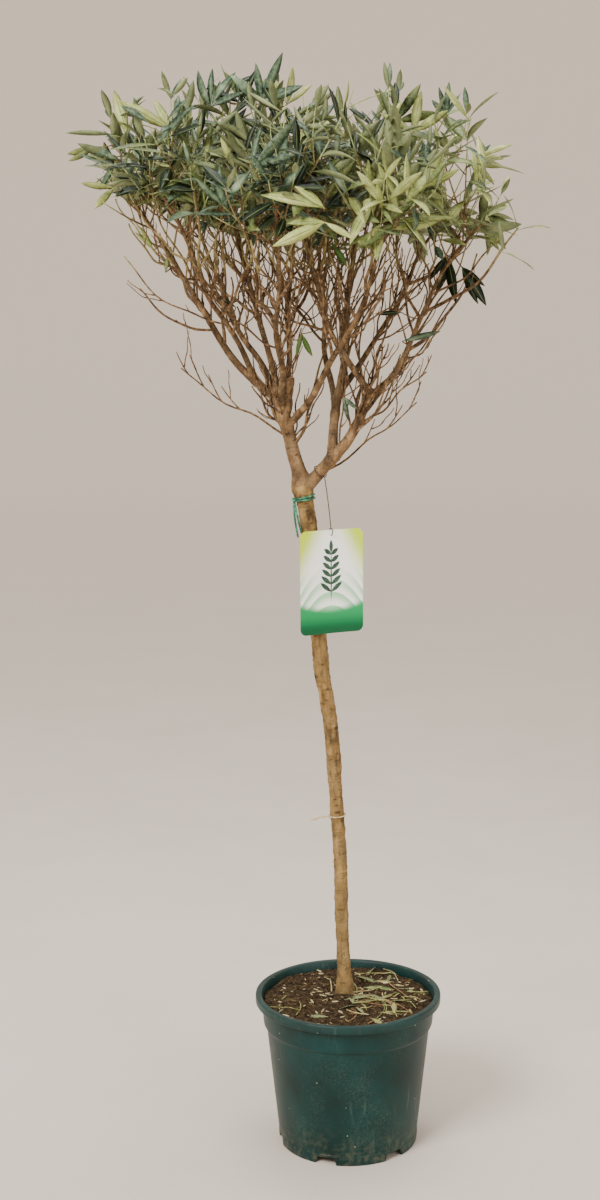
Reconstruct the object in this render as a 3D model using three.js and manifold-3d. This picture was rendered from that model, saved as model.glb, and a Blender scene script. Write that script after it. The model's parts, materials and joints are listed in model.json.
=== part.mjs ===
// A young olive tree grown as a standard: a bare trunk in a round nursery pot, a head of slender boughs and a wide,
// flat-topped crown of narrow leaves. Lengths are in millimetres and angles in degrees. +Z is up, +X is to the right
// and +Y is away from the viewer. The origin is the middle of the pot's flat underside.
import * as THREE from "three";
import { mergeVertices } from "three/addons/utils/BufferGeometryUtils.js";
import Module from "manifold-3d";

const wasm = await Module();
wasm.setup();
const { Manifold, Mesh: SolidMesh } = wasm;

// Clearance between pieces that touch on the real plant, and the longest edge that a join may merge away.
const GAP = 0.3;
const FINEST = 0.05;

// Vertices nearer than this are one, and the points at which curves are sampled for tests.
const SAME_POINT = 1e-3;
const SAMPLES = { limb: 40, shoot: 12, shootFoot: 2, trunk: 200 };

// The first seeds of the bare shoots, of the crown's shoot ends and of its shoots.
const SEEDS = { bare: 60, shootEnd: 500, shoot: 900 };

// The pot: a tapered wall with a rolled rim, a collar above a small step, and a foot ring round a shallow gutter.
const POT = {
  height: 202,
  wall: 2.4,
  rimRadius: 130,
  rimDepth: 11,
  rimRound: 2,
  collarTop: 121.5,
  collarBottom: 118.5,
  collarDepth: 29,
  step: 4,
  footRadius: 96.5,
  footWidth: 3.5,
  gutterOuter: 88,
  gutterInner: 60,
  gutterHeight: 11,
  gutterSlope: 4,
  facets: 32,
};

// Six notches open the foot ring, with a drain hole in the gutter behind each. The first is by its angle from +X.
const NOTCH = { count: 6, width: 30, height: 9.5, depth: 18, firstAngle: -109 };
const DRAIN = { radius: 5, ring: 74, depth: 40, facets: 6 };

// The compost fills the pot to a little below its rim, level in the middle and lower at its edge.
const SOIL = { top: 190, edgeTop: 187, slope: 26, facets: 32 };

// The trunk's centreline as [height, x, y], from inside the compost to the fork, and its girth.
const TRUNK_LINE = [
  [176, -3, 14.5],
  [300, -9, 17],
  [390, -11.5, 18],
  [480, -17.5, 17],
  [568, -23.5, 15],
  [650, -36.5, 13],
  [700, -41, 12],
  [800, -48.5, 10],
  [860, -55.5, 9],
  [918, -65.5, 8],
];
const TRUNK = {
  footRadius: 9,
  forkRadius: 12.4,
  taperPower: 1.4,
  flare: 4.8,
  flareHeight: 18,
  sides: 9,
  steps: 20,
};

// The head, as [name, parent, at, tip, lean, girth]: each limb leaves its parent at a share of the parent's length
// and reaches for its tip. The leans are from the upright, at the limb's foot and at its tip, and so are its radii.
const LIMB_ROWS = [
  ["leader_left", "trunk", 1, [-101, 6, 1042], [14, 18], [10.2, 8.2]],
  ["leader_right", "trunk", 0.985, [31, -30, 1056], [52, 14], [9.4, 6]],
  ["cut_leader", "leader_left", 0.74, [-82, 12, 1066], [16, 0], [6.4, 5.8]],
  ["bough_far_left", "leader_left", 0.97, [-262, -12, 1258], [58, 34], [6.4, 3]],
  ["bough_left_rear", "leader_left", 0.95, [-206, 142, 1240], [38, 30], [5, 2.8]],
  ["bough_left_inner", "leader_left", 0.99, [-158, 34, 1262], [6, 14], [5, 2.8]],
  ["bough_left_front", "bough_far_left", 0.14, [-208, -136, 1236], [36, 30], [4.6, 2.7]],
  ["bough_front", "leader_left", 0.86, [-92, -186, 1226], [46, 28], [5, 2.8]],
  ["bough_crossing", "leader_left", 0.62, [34, -152, 1224], [54, 24], [5.6, 2.8]],
  ["bough_right_inner", "leader_right", 0.36, [12, 44, 1264], [6, 12], [7.4, 3.2]],
  ["bough_front_inner", "leader_right", 0.96, [-58, -78, 1256], [42, 10], [4.8, 2.7]],
  ["bough_rear_inner", "leader_left", 0.8, [-80, 92, 1258], [30, 12], [4.8, 2.7]],
  ["bough_far_right", "leader_right", 0.9, [124, -44, 1204], [58, 28], [4.8, 2.7]],
  ["bough_right_rear", "bough_right_inner", 0.3, [96, 112, 1222], [48, 28], [4.8, 2.7]],
  ["bough_rear", "bough_right_inner", 0.2, [-42, 196, 1228], [46, 28], [5, 2.8]],
];
const LIMB = {
  sides: 6,
  stepLength: 30,
  taperPower: 0.8,
  collar: 0.3,
  collarReach: 1.6,
  wander: 5,
  swayTurns: [1.3, 1.7],
};

// Bare shoots low in the head, as [name, parent, at, tip, lean, forks]. They grow as the limbs do.
const BARE_ROWS = [
  ["twig_low_left", "leader_left", 0.5, [-234, -18, 1082], [56, 44], 4],
  ["twig_low_right", "leader_right", 0.16, [96, -20, 1034], [62, 48], 3],
  ["twig_mid_right", "leader_right", 0.66, [108, -50, 1078], [64, 54], 3],
];
const BARE = { girth: [1.9, 1.1], sides: 4, steps: 7, wander: 8, forksFrom: 0.45, forksTo: 0.92 };
const FORK = { length: 42, girth: [1.2, 0.9], ahead: 0.6, aside: [0.2, 0.5], rise: [0.3, 0.7], sag: 4 };

// The crown: shoots end evenly over a broad, flat-topped head that slopes down at its edge, in layers.
const CROWN = {
  x: -84,
  y: 0,
  radius: 282,
  top: 1447,
  drop: 48,
  dropPower: 4,
  layers: 3,
  layerStep: 58,
  edgeStep: 44,
  shoots: 92,
};

// A mass keeps to the cell of its own home in plan, which lies a little farther out than its bough's tip.
const MASS = { homeSpread: 1.2, edgeMargin: 1, limbMargin: 2.5, rise: 78, outward: 0.24, girth: 2.2, steps: 3 };
const SHOOT = {
  girth: [1.7, 1.0],
  steps: 2,
  reach: 200,
  foot: [0.1, 0.95],
  footDrop: 0.7,
  knee: 0.55,
  kneeRise: 0.4,
  ragged: 20,
  extra: 30,
  extraEvery: 9,
};
const LEAF = {
  pairs: 2,
  from: 0.6,
  to: 0.93,
  endAt: 0.97,
  length: 74,
  shares: [0.8, 1.05],
  endShare: 0.9,
  width: 16.5,
  thickness: 1.6,
  spread: [38, 54],
  endSpread: 8,
  waist: 0.45,
  sunk: 0.25,
  turns: 4,
};

// Two bands round the trunk. The tail and the bow before it are [across, up] from the knot.
const TIE = { height: 896, wire: 1.5, lifts: [-2, 2], tilt: 6, tail: [6, -48], bow: [-6, -16] };
const STRING = { height: 444, wire: 0.9, lifts: [0], tilt: 0, tail: [-24, -6], bow: [-14, 6] };
const BAND = { room: 0.8, knot: 2.4, tailApart: 2.4, sides: 4, segments: 16, tailSteps: 3 };

// The card hangs from the right leader by a thread, turned with its right side away.
const CARD = { width: 100, height: 146, thickness: 1, corner: 9, x: -20, top: 852, turn: 28, hole: 3, holeDrop: 8 };
const THREAD = { wire: 0.6, at: 0.2, sides: 4, loopSegments: 14, eyeSegments: 10 };

const BARK = 0x9a7f5c;
const TWIG_BARK = 0x7d6346;
const LEAF_GREEN = 0x6c7f5c;
const POT_GREEN = 0x1f5449;
const COMPOST = 0x4a3a2c;
const TIE_GREEN = 0x2f7d5c;
const STRAW = 0xb59a6a;
const CARD_WHITE = 0xdfe8cf;
const THREAD_WHITE = 0xe8e4da;

const GOLDEN_ANGLE = Math.PI * (3 - Math.sqrt(5));
const UP = new THREE.Vector3(0, 0, 1);
const { degToRad: radians, lerp, inverseLerp, clamp } = THREE.MathUtils;

// A seeded row of numbers between 0 and 1, by Lehmer's rule, so that the tree grows the same way each time.
const LEHMER = { modulus: 2147483647, factor: 48271, seedFactor: 7919, seedOffset: 104729 };

function seededRow(seed) {
  let state = (seed * LEHMER.seedFactor + LEHMER.seedOffset) % LEHMER.modulus;
  const next = () => {
    state = (state * LEHMER.factor) % LEHMER.modulus;
    return state / LEHMER.modulus;
  };
  next();
  next();
  return next;
}

// Evenly spaced shares of a curve, from 0 to 1.
function shares(count) {
  return Array.from({ length: count + 1 }, (_, i) => i / count);
}

// A closed three.js geometry as a solid for boolean work.
function solidOf(geometry) {
  const bare = new THREE.BufferGeometry().setAttribute("position", geometry.getAttribute("position"));
  if (geometry.index) bare.setIndex(geometry.index);
  const merged = mergeVertices(bare, SAME_POINT);
  return new Manifold(
    new SolidMesh({
      numProp: 3,
      vertProperties: merged.attributes.position.array,
      triVerts: new Uint32Array(merged.index.array),
    }),
  );
}

// A solid as a three.js geometry again.
function geometryOf(solid) {
  const mesh = solid.getMesh();
  return new THREE.BufferGeometry()
    .setAttribute("position", new THREE.BufferAttribute(mesh.vertProperties, 3))
    .setIndex(new THREE.BufferAttribute(mesh.triVerts, 1));
}

// The largest of a solid's separate bodies.
function largestOf(solid) {
  return solid.decompose().sort((a, b) => b.volume() - a.volume())[0];
}

// A profile of [radius, height] pairs turned about the upright axis.
function turnedSolid(profile, facets) {
  const points = profile.map(([radius, height]) => new THREE.Vector2(radius, height));
  return solidOf(new THREE.LatheGeometry(points, facets).rotateX(Math.PI / 2));
}

// A ring that lies flat round the upright axis.
function ringGeometry(radius, wire, sides, segments) {
  return new THREE.TorusGeometry(radius, wire, sides, segments);
}

// A limb's centreline: a cubic from foot to tip that starts and ends at the given leans, in the upright plane
// through both, with a slight seeded wander that dies out at its ends.
class LimbCurve extends THREE.Curve {
  constructor(foot, tip, lean, wander, seed) {
    super();
    this.foot = foot;
    this.tip = tip;
    this.wander = wander;
    const heading = new THREE.Vector3(tip.x - foot.x, tip.y - foot.y, 0).normalize();
    this.across = new THREE.Vector3(-heading.y, heading.x, 0);
    const reach = foot.distanceTo(tip);
    [this.start, this.end] = lean.map((degrees) =>
      heading
        .clone()
        .multiplyScalar(reach * Math.sin(radians(degrees)))
        .addScaledVector(UP, reach * Math.cos(radians(degrees))),
    );
    const next = seededRow(seed);
    this.phase = [next(), next()];
  }

  getPoint(t, target = new THREE.Vector3()) {
    const fade = this.wander * Math.sin(Math.PI * t);
    const sway = (turns, i) => fade * Math.sin(2 * Math.PI * (turns * t + this.phase[i]));
    const [aside, upward] = LIMB.swayTurns.map(sway);
    return target
      .copy(this.foot)
      .multiplyScalar((1 + 2 * t) * (1 - t) ** 2)
      .addScaledVector(this.tip, t * t * (3 - 2 * t))
      .addScaledVector(this.start, t * (1 - t) ** 2)
      .addScaledVector(this.end, t * t * (t - 1))
      .addScaledVector(this.across, aside)
      .addScaledVector(UP, upward / 2);
  }
}

// A capped cylinder bent along a curve: its rings stand square to the curve and are as wide as radiusAt(t) says.
function bentTube(curve, radiusAt, sides, steps) {
  const tube = new THREE.CylinderGeometry(1, 1, 1, sides, steps);
  const position = tube.getAttribute("position");
  let normal = new THREE.Vector3(1, 0, 0);
  const rings = shares(steps).map((t) => {
    const tangent = curve.getTangent(t);
    normal = normal.clone().addScaledVector(tangent, -normal.dot(tangent)).normalize();
    return { at: curve.getPoint(t), normal, side: tangent.clone().cross(normal), radius: radiusAt(t) };
  });
  const point = new THREE.Vector3();
  for (let v = 0; v < position.count; v++) {
    const ring = rings[Math.round((position.getY(v) + 0.5) * steps)];
    point
      .copy(ring.at)
      .addScaledVector(ring.normal, position.getZ(v) * ring.radius)
      .addScaledVector(ring.side, position.getX(v) * ring.radius);
    position.setXYZ(v, point.x, point.y, point.z);
  }
  return solidOf(tube);
}

// The pot's outside from its middle to its rim, and back down its inside.
const rimBase = POT.height - POT.rimDepth;
const collarBase = rimBase - POT.collarDepth;
const stepRadius = POT.collarBottom - POT.step;
const gutterFoot = POT.gutterInner - POT.gutterSlope;

function potSolid() {
  const { wall, rimRadius, rimRound, footRadius, gutterHeight, gutterInner } = POT;
  const floor = gutterHeight + wall;
  const shell = turnedSolid(
    [
      [0, 0],
      [gutterFoot, 0],
      [gutterInner, gutterHeight],
      [POT.gutterOuter, gutterHeight],
      [footRadius - POT.footWidth, 0],
      [footRadius, 0],
      [stepRadius, collarBase - POT.step],
      [POT.collarBottom, collarBase],
      [POT.collarTop, rimBase],
      [rimRadius - rimRound, rimBase],
      [rimRadius, rimBase + rimRound],
      [rimRadius, POT.height - rimRound],
      [rimRadius - rimRound, POT.height],
      [POT.collarTop, POT.height],
      [POT.collarTop - wall, rimBase],
      [POT.collarBottom - wall, collarBase],
      [stepRadius - wall, collarBase - POT.step],
      [footRadius - wall, floor],
      [gutterInner, floor],
      [gutterFoot, wall],
      [0, wall],
    ],
    POT.facets,
  );
  const cuts = Array.from({ length: NOTCH.count }, (_, i) => {
    const angle = radians(NOTCH.firstAngle + (360 / NOTCH.count) * i);
    const notch = new THREE.BoxGeometry(NOTCH.depth, NOTCH.width, NOTCH.height * 2);
    const drain = new THREE.CylinderGeometry(DRAIN.radius, DRAIN.radius, DRAIN.depth, DRAIN.facets);
    return [
      solidOf(notch.translate(footRadius, 0, 0).rotateZ(angle)),
      solidOf(drain.rotateX(Math.PI / 2).translate(DRAIN.ring, 0, 0).rotateZ(angle)),
    ];
  });
  return shell.subtract(Manifold.union(cuts.flat()));
}

// The compost fills the pot's inside, a clearance away from every wall, under a slightly domed top.
function soilSolid() {
  const off = POT.wall + GAP;
  const floor = POT.gutterHeight + off;
  const topShare = inverseLerp(collarBase, rimBase, SOIL.edgeTop);
  const topRadius = lerp(POT.collarBottom, POT.collarTop, topShare) - off;
  return turnedSolid(
    [
      [0, off],
      [gutterFoot - GAP, off],
      [POT.gutterInner - GAP, floor],
      [POT.footRadius - off, floor],
      [stepRadius - off, collarBase - POT.step],
      [topRadius, SOIL.edgeTop],
      [topRadius - SOIL.slope, SOIL.top],
      [0, SOIL.top],
    ],
    SOIL.facets,
  );
}

// The trunk thickens slowly up to its fork and flares at the ground.
const trunkCurve = new THREE.CatmullRomCurve3(
  TRUNK_LINE.map(([height, x, y]) => new THREE.Vector3(x, y, height)),
  false,
  "catmullrom",
);

function trunkRadius(t) {
  const height = Math.max(0, trunkCurve.getPoint(t).z - SOIL.top);
  const share = height / (TRUNK_LINE.at(-1)[0] - SOIL.top);
  const taper = lerp(TRUNK.footRadius, TRUNK.forkRadius, share ** TRUNK.taperPower);
  return taper + TRUNK.flare * Math.exp(-height / TRUNK.flareHeight);
}

// A limb tapers from foot to tip, and swells into a collar where it leaves its parent.
function limbRadius(curve, [foot, tip]) {
  const collarLength = LIMB.collarReach * foot;
  const length = curve.getLength();
  return (t) => {
    const taper = lerp(foot, tip, t ** LIMB.taperPower);
    return taper + foot * LIMB.collar * Math.exp((-t * length) / collarLength);
  };
}

const limbs = new Map();
limbs.set("trunk", { curve: trunkCurve, radiusAt: trunkRadius, sides: TRUNK.sides, steps: TRUNK.steps });
LIMB_ROWS.forEach(([name, parent, at, tip, lean, girth], i) => {
  const foot = limbs.get(parent).curve.getPoint(at);
  const curve = new LimbCurve(foot, new THREE.Vector3(...tip), lean, LIMB.wander, i + 1);
  const steps = Math.max(3, Math.round(curve.getLength() / LIMB.stepLength));
  limbs.set(name, { curve, radiusAt: limbRadius(curve, girth), sides: LIMB.sides, steps, tipRadius: girth[1] });
});

// Each limb starts on its parent's centreline, so what lies within a clearance of an earlier limb is cut away.
const limbSpace = [];
const limbSolids = [...limbs].map(([name, { curve, radiusAt, sides, steps }]) => {
  const whole = bentTube(curve, radiusAt, sides, steps).trimByPlane([0, 0, 1], SOIL.top + GAP);
  const solid = limbSpace.reduce((left, space) => left.subtract(space), whole);
  limbSpace.push(bentTube(curve, (t) => radiusAt(t) + GAP, sides, steps));
  return { name, solid: largestOf(solid) };
});

// A bare shoot: one thin stem with short forks on alternate sides.
function bareShootSolid([, parent, at, tip, lean, forks], seed) {
  const foot = limbs.get(parent).curve.getPoint(at);
  const curve = new LimbCurve(foot, new THREE.Vector3(...tip), lean, BARE.wander, seed);
  const next = seededRow(seed);
  const forkSolids = shares(forks - 1).map((share, i) => {
    const t = lerp(BARE.forksFrom, BARE.forksTo, share);
    const root = curve.getPoint(t);
    const side = i % 2 ? 1 : -1;
    const end = root
      .clone()
      .addScaledVector(curve.getTangent(t), FORK.length * FORK.ahead)
      .addScaledVector(curve.across, side * FORK.length * lerp(...FORK.aside, next()))
      .addScaledVector(UP, FORK.length * lerp(...FORK.rise, next()));
    const knee = root.clone().lerp(end, 0.5).addScaledVector(UP, -FORK.sag);
    const line = new THREE.QuadraticBezierCurve3(root, knee, end);
    return bentTube(line, (s) => lerp(...FORK.girth, s), 3, 2);
  });
  const stem = bentTube(curve, (t) => lerp(...BARE.girth, t), BARE.sides, BARE.steps);
  const joined = Manifold.union([stem, ...forkSolids]);
  return largestOf(limbSpace.reduce((left, space) => left.subtract(space), joined).simplify(FINEST));
}

// A mass of foliage stands on each bough. Its space is what lies nearer, in plan, to its home than to any other.
const boughs = [...limbs].filter(([name]) => name.startsWith("bough_"));
const masses = boughs.map(([boughName, { curve, tipRadius }]) => {
  const name = boughName.replace("bough_", "foliage_");
  const tip = curve.getPoint(1);
  const home = new THREE.Vector2(CROWN.x, CROWN.y).lerp(tip, MASS.homeSpread);
  return { name, tip, tipRadius, tangent: curve.getTangent(1), home, shoots: [] };
});

// How far a point lies inside a mass's own space, from the nearest of the upright planes that bound it.
function depthInSpace(mass, point) {
  const square = ({ home }) => (home.x - point.x) ** 2 + (home.y - point.y) ** 2;
  const others = masses.filter((other) => other !== mass);
  return Math.min(
    ...others.map((other) => (square(other) - square(mass)) / (2 * other.home.distanceTo(mass.home))),
  );
}

const limbSamples = [...limbs.values()].flatMap(({ curve, radiusAt }) =>
  shares(SAMPLES.limb).map((t) => ({ at: curve.getPoint(t), radius: radiusAt(t) })),
);

function clearOfLimbs(point) {
  return limbSamples.every(({ at, radius }) => at.distanceTo(point) > radius + MASS.limbMargin);
}

// Where a shoot ends: on a sunflower's spiral seen from above, in one of the layers under the crown's top.
function shootEnd(i) {
  const next = seededRow(SEEDS.shootEnd + i);
  const share = Math.sqrt((i + 0.5) / CROWN.shoots);
  const layer = i % CROWN.layers;
  const extra = i % SHOOT.extraEvery ? 0 : SHOOT.extra;
  const depth = CROWN.drop * share ** CROWN.dropPower + layer * lerp(CROWN.layerStep, CROWN.edgeStep, share);
  return new THREE.Vector3(
    CROWN.x + CROWN.radius * share * Math.cos(i * GOLDEN_ANGLE),
    CROWN.y + CROWN.radius * share * Math.sin(i * GOLDEN_ANGLE),
    CROWN.top + extra - depth - SHOOT.ragged * next(),
  );
}
for (let i = 0; i < CROWN.shoots; i++) {
  const end = shootEnd(i);
  const mass = masses.find((each) => depthInSpace(each, end) >= 0);
  mass.shoots.push({ end, seed: SEEDS.shoot + i });
}

// The mass's stem carries on from its bough's tip, turning up and a little outwards.
function massStem({ tip, tangent, home }) {
  const foot = tip.clone().addScaledVector(tangent, GAP);
  const knee = foot.clone().addScaledVector(tangent, MASS.rise / 2);
  const outward = new THREE.Vector3(home.x - CROWN.x, home.y - CROWN.y, 0);
  const head = foot.clone().addScaledVector(outward, MASS.outward).addScaledVector(UP, MASS.rise);
  return new THREE.QuadraticBezierCurve3(foot, knee, head);
}

// A shoot leaves the mass's stem, the higher the higher it ends, runs outwards and turns up to its end.
function shootCurve(stem, end, next) {
  const height = clamp(inverseLerp(CROWN.top - SHOOT.reach, CROWN.top, end.z), 0, 1);
  const foot = stem.getPoint(lerp(...SHOOT.foot, height) * lerp(SHOOT.footDrop, 1, next()));
  const knee = foot.clone().lerp(end, SHOOT.knee);
  knee.z = lerp(foot.z, end.z, SHOOT.kneeRise);
  return new THREE.QuadraticBezierCurve3(foot, knee, end);
}

// Where a leaf stands on a shoot: its root, the way it points and the way it is broad.
function leafPlace(curve, t, turn, spread, length) {
  const axis = curve.getTangent(t);
  const out = new THREE.Vector3(1, 0, 0).cross(axis).normalize().applyAxisAngle(axis, turn);
  const along = axis.clone().multiplyScalar(Math.cos(spread)).addScaledVector(out, Math.sin(spread));
  return { root: curve.getPoint(t), along, across: axis.cross(out), length };
}

// The pairs of opposite leaves along a shoot, each pair square to the one before, and the leaf at its end. A pair
// is turned on its shoot until it fits, and a leaf that still doesn't fit is left out.
function leavesOf(curve, next, fits) {
  const first = next() * Math.PI;
  const pairs = shares(LEAF.pairs - 1).map((share, pair) => {
    const t = lerp(LEAF.from, LEAF.to, share);
    const spread = radians(lerp(...LEAF.spread, next()));
    const length = LEAF.length * lerp(...LEAF.shares, next());
    const tries = shares(LEAF.turns).map((turned) => {
      const turn = first + Math.PI * (pair / 2 + turned);
      return [turn, turn + Math.PI].map((each) => leafPlace(curve, t, each, spread, length)).filter(fits);
    });
    return tries.sort((a, b) => b.length - a.length)[0];
  });
  const last = leafPlace(curve, LEAF.endAt, first, radians(LEAF.endSpread), LEAF.length * LEAF.endShare);
  return [...pairs.flat(), last].filter(fits);
}

// A narrow leaf of six faces, flat above and keeled below, widest at its waist, with its root sunk in the shoot.
function leafSolid({ root, along, across, length }) {
  const outline = [new THREE.Vector2(0, 0), new THREE.Vector2(1, LEAF.waist), new THREE.Vector2(0, 1)];
  const blade = new THREE.LatheGeometry(outline, 3);
  const halfWidth = LEAF.width / 2 / Math.sin(Math.PI / 3);
  const keel = LEAF.thickness / (1 + Math.cos(Math.PI / 3));
  const below = across.clone().cross(along).normalize();
  const position = blade.getAttribute("position");
  const point = new THREE.Vector3();
  for (let v = 0; v < position.count; v++) {
    point
      .copy(root)
      .addScaledVector(along, lerp(-LEAF.sunk, length, position.getY(v)))
      .addScaledVector(across, halfWidth * position.getX(v))
      .addScaledVector(below, keel * position.getZ(v));
    position.setXYZ(v, point.x, point.y, point.z);
  }
  return solidOf(blade);
}

// A mass is its stem, the shoots that stay in its space and their leaves, fused into one solid.
function massSolid(mass) {
  const inSpace = (point) => depthInSpace(mass, point) > MASS.edgeMargin && clearOfLimbs(point);
  const fits = ({ root, along, across, length }) => {
    const point = (share, aside) =>
      root.clone().addScaledVector(along, length * share).addScaledVector(across, LEAF.width * aside);
    return [point(1, 0), point(LEAF.waist, 0.5), point(LEAF.waist, -0.5)].every(inSpace);
  };
  const stem = massStem(mass);
  const parts = [bentTube(stem, (t) => lerp(mass.tipRadius, MASS.girth, t), 3, MASS.steps)];
  for (const { end, seed } of mass.shoots) {
    const next = seededRow(seed);
    const curve = shootCurve(stem, end, next);
    if (curve.getPoints(SAMPLES.shoot).slice(SAMPLES.shootFoot).every(inSpace)) {
      parts.push(bentTube(curve, (t) => lerp(...SHOOT.girth, t), 3, SHOOT.steps));
      parts.push(...leavesOf(curve, next, fits).map(leafSolid));
    }
  }
  return largestOf(Manifold.union(parts).simplify(FINEST));
}

// A band round the trunk: rings that meet at a knot on its left, and two hanging tails.
function bandSolid({ height, wire, lifts, tilt, tail, bow }) {
  const t = shares(SAMPLES.trunk).find((share) => trunkCurve.getPoint(share).z >= height);
  const centre = trunkCurve.getPoint(t);
  const radius = trunkRadius(t) + BAND.room + wire;
  const square = new THREE.Quaternion().setFromUnitVectors(UP, trunkCurve.getTangent(t));
  const rings = lifts.map((lift) =>
    solidOf(
      ringGeometry(radius, wire, BAND.sides, BAND.segments)
        .rotateY(radians(-Math.sign(lift) * tilt))
        .translate(0, 0, lift)
        .applyQuaternion(square)
        .translate(...centre),
    ),
  );
  const knotOut = radius + wire * (BAND.knot - 1);
  const knot = new THREE.Vector3(-knotOut, 0, 0).applyQuaternion(square).add(centre);
  const knotSolid = solidOf(new THREE.OctahedronGeometry(wire * BAND.knot).translate(...knot));
  const tails = [-BAND.tailApart, BAND.tailApart].map((apart) => {
    const [bend, end] = [bow, tail].map(([x, z]) => knot.clone().add(new THREE.Vector3(x, apart, z)));
    return bentTube(new THREE.QuadraticBezierCurve3(knot, bend, end), () => wire, BAND.sides, BAND.tailSteps);
  });
  return largestOf(Manifold.union([...rings, knotSolid, ...tails]));
}

// The middle of the card's hole: the card's back lies a clearance in front of the trunk.
function cardHole() {
  const turn = radians(CARD.turn);
  const back = new THREE.Vector3(-Math.sin(turn), Math.cos(turn), 0);
  const hole = new THREE.Vector3(CARD.x, 0, CARD.top - CARD.holeDrop);
  const rooms = shares(SAMPLES.trunk).flatMap((t) => {
    const at = trunkCurve.getPoint(t);
    const beside = at.z < CARD.top && at.z > CARD.top - CARD.height;
    return beside ? [at.sub(hole).dot(back) - trunkRadius(t)] : [];
  });
  return hole.addScaledVector(back, Math.min(...rooms) - CARD.thickness / 2 - GAP);
}
const hole = cardHole();

// A flat card with round corners and a hole near its top.
function cardSolid() {
  const { height, corner, thickness, holeDrop } = CARD;
  const side = CARD.width / 2 - corner;
  const bottom = holeDrop - height + corner;
  const top = holeDrop - corner;
  const quarter = Math.PI / 2;
  const outline = new THREE.Shape()
    .moveTo(-side, bottom - corner)
    .absarc(side, bottom, corner, -quarter, 0)
    .absarc(side, top, corner, 0, quarter)
    .absarc(-side, top, corner, quarter, 2 * quarter)
    .absarc(-side, bottom, corner, 2 * quarter, 3 * quarter);
  outline.holes.push(new THREE.Path().absarc(0, 0, CARD.hole, 0, 4 * quarter, true));
  const plate = new THREE.ExtrudeGeometry(outline, { depth: thickness, bevelEnabled: false, curveSegments: 3 });
  plate.translate(0, 0, -thickness / 2).rotateX(quarter).rotateZ(radians(CARD.turn));
  return solidOf(plate.translate(...hole));
}

// The thread: a loop round the leader, a straight run down, and a small eye through the card's hole.
function threadSolid() {
  const { wire, at, sides } = THREAD;
  const leader = limbs.get("leader_right");
  const centre = leader.curve.getPoint(at);
  const axis = leader.curve.getTangent(at);
  const loopRadius = leader.radiusAt(at) + BAND.room + wire;
  const square = new THREE.Quaternion().setFromUnitVectors(UP, axis);
  const loop = ringGeometry(loopRadius, wire, sides, THREAD.loopSegments).applyQuaternion(square);
  const down = axis.clone().multiplyScalar(axis.z).sub(UP).normalize();
  const top = centre.clone().addScaledVector(down, loopRadius);
  const eyeFoot = CARD.hole - wire - 2 * GAP;
  const eyeTop = CARD.holeDrop + wire + 2 * GAP;
  const eyeRadius = (eyeTop - eyeFoot) / 2;
  const eye = ringGeometry(eyeRadius, wire, sides, THREAD.eyeSegments)
    .rotateY(Math.PI / 2)
    .rotateZ(radians(CARD.turn))
    .translate(hole.x, hole.y, hole.z + eyeFoot + eyeRadius);
  const bottom = hole.clone().addScaledVector(UP, eyeTop);
  const run = bentTube(new THREE.LineCurve3(top, bottom), () => wire, sides, 1);
  return largestOf(Manifold.union([solidOf(loop.translate(...centre)), solidOf(eye), run]));
}

const root = new THREE.Group();
function addPiece(name, solid, color, roughness) {
  const material = new THREE.MeshStandardMaterial({ color, roughness, metalness: 0 });
  const piece = new THREE.Mesh(geometryOf(solid), material);
  piece.name = name;
  root.add(piece);
}

addPiece("pot", potSolid(), POT_GREEN, 0.45);
addPiece("soil", soilSolid(), COMPOST, 0.95);
limbSolids.forEach(({ name, solid }) => addPiece(name, solid, BARK, 0.85));
BARE_ROWS.forEach((row, i) => addPiece(row[0], bareShootSolid(row, SEEDS.bare + i), TWIG_BARK, 0.85));
masses.forEach((mass) => addPiece(mass.name, massSolid(mass), LEAF_GREEN, 0.6));
addPiece("tie", bandSolid(TIE), TIE_GREEN, 0.4);
addPiece("string", bandSolid(STRING), STRAW, 0.9);
addPiece("card", cardSolid(), CARD_WHITE, 0.5);
addPiece("card_thread", threadSolid(), THREAD_WHITE, 0.7);

export default root;
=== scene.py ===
# The looks of a young olive tree in its nursery pot. Lengths are in millimetres and angles
# in degrees, as in the solids' own source, and a mesh is scaled to metres as it is made.
import itertools
import json
import math

import bpy
import numpy as np
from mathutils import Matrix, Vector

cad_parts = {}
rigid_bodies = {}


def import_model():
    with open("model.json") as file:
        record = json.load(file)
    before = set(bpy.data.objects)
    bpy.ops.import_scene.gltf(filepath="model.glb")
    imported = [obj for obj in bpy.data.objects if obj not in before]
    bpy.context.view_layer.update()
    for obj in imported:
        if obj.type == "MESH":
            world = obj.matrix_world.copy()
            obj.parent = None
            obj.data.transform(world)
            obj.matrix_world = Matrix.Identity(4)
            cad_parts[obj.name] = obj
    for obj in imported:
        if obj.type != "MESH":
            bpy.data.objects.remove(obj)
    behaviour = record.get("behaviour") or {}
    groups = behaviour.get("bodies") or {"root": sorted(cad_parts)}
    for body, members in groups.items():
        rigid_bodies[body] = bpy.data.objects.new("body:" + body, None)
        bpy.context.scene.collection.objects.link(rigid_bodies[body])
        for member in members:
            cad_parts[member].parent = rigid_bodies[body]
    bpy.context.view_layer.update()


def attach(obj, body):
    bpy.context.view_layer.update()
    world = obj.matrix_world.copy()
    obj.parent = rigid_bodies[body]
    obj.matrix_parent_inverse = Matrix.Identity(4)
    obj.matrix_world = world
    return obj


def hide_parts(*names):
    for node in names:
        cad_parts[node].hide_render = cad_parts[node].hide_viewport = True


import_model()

METRES = 0.001
BODY = "root"
UP = np.array([0.0, 0.0, 1.0])
RIGHT = np.array([1.0, 0.0, 0.0])
BACK = np.array([0.0, 1.0, 0.0])
GOLDEN_ANGLE = math.pi * (3 - math.sqrt(5))

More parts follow.
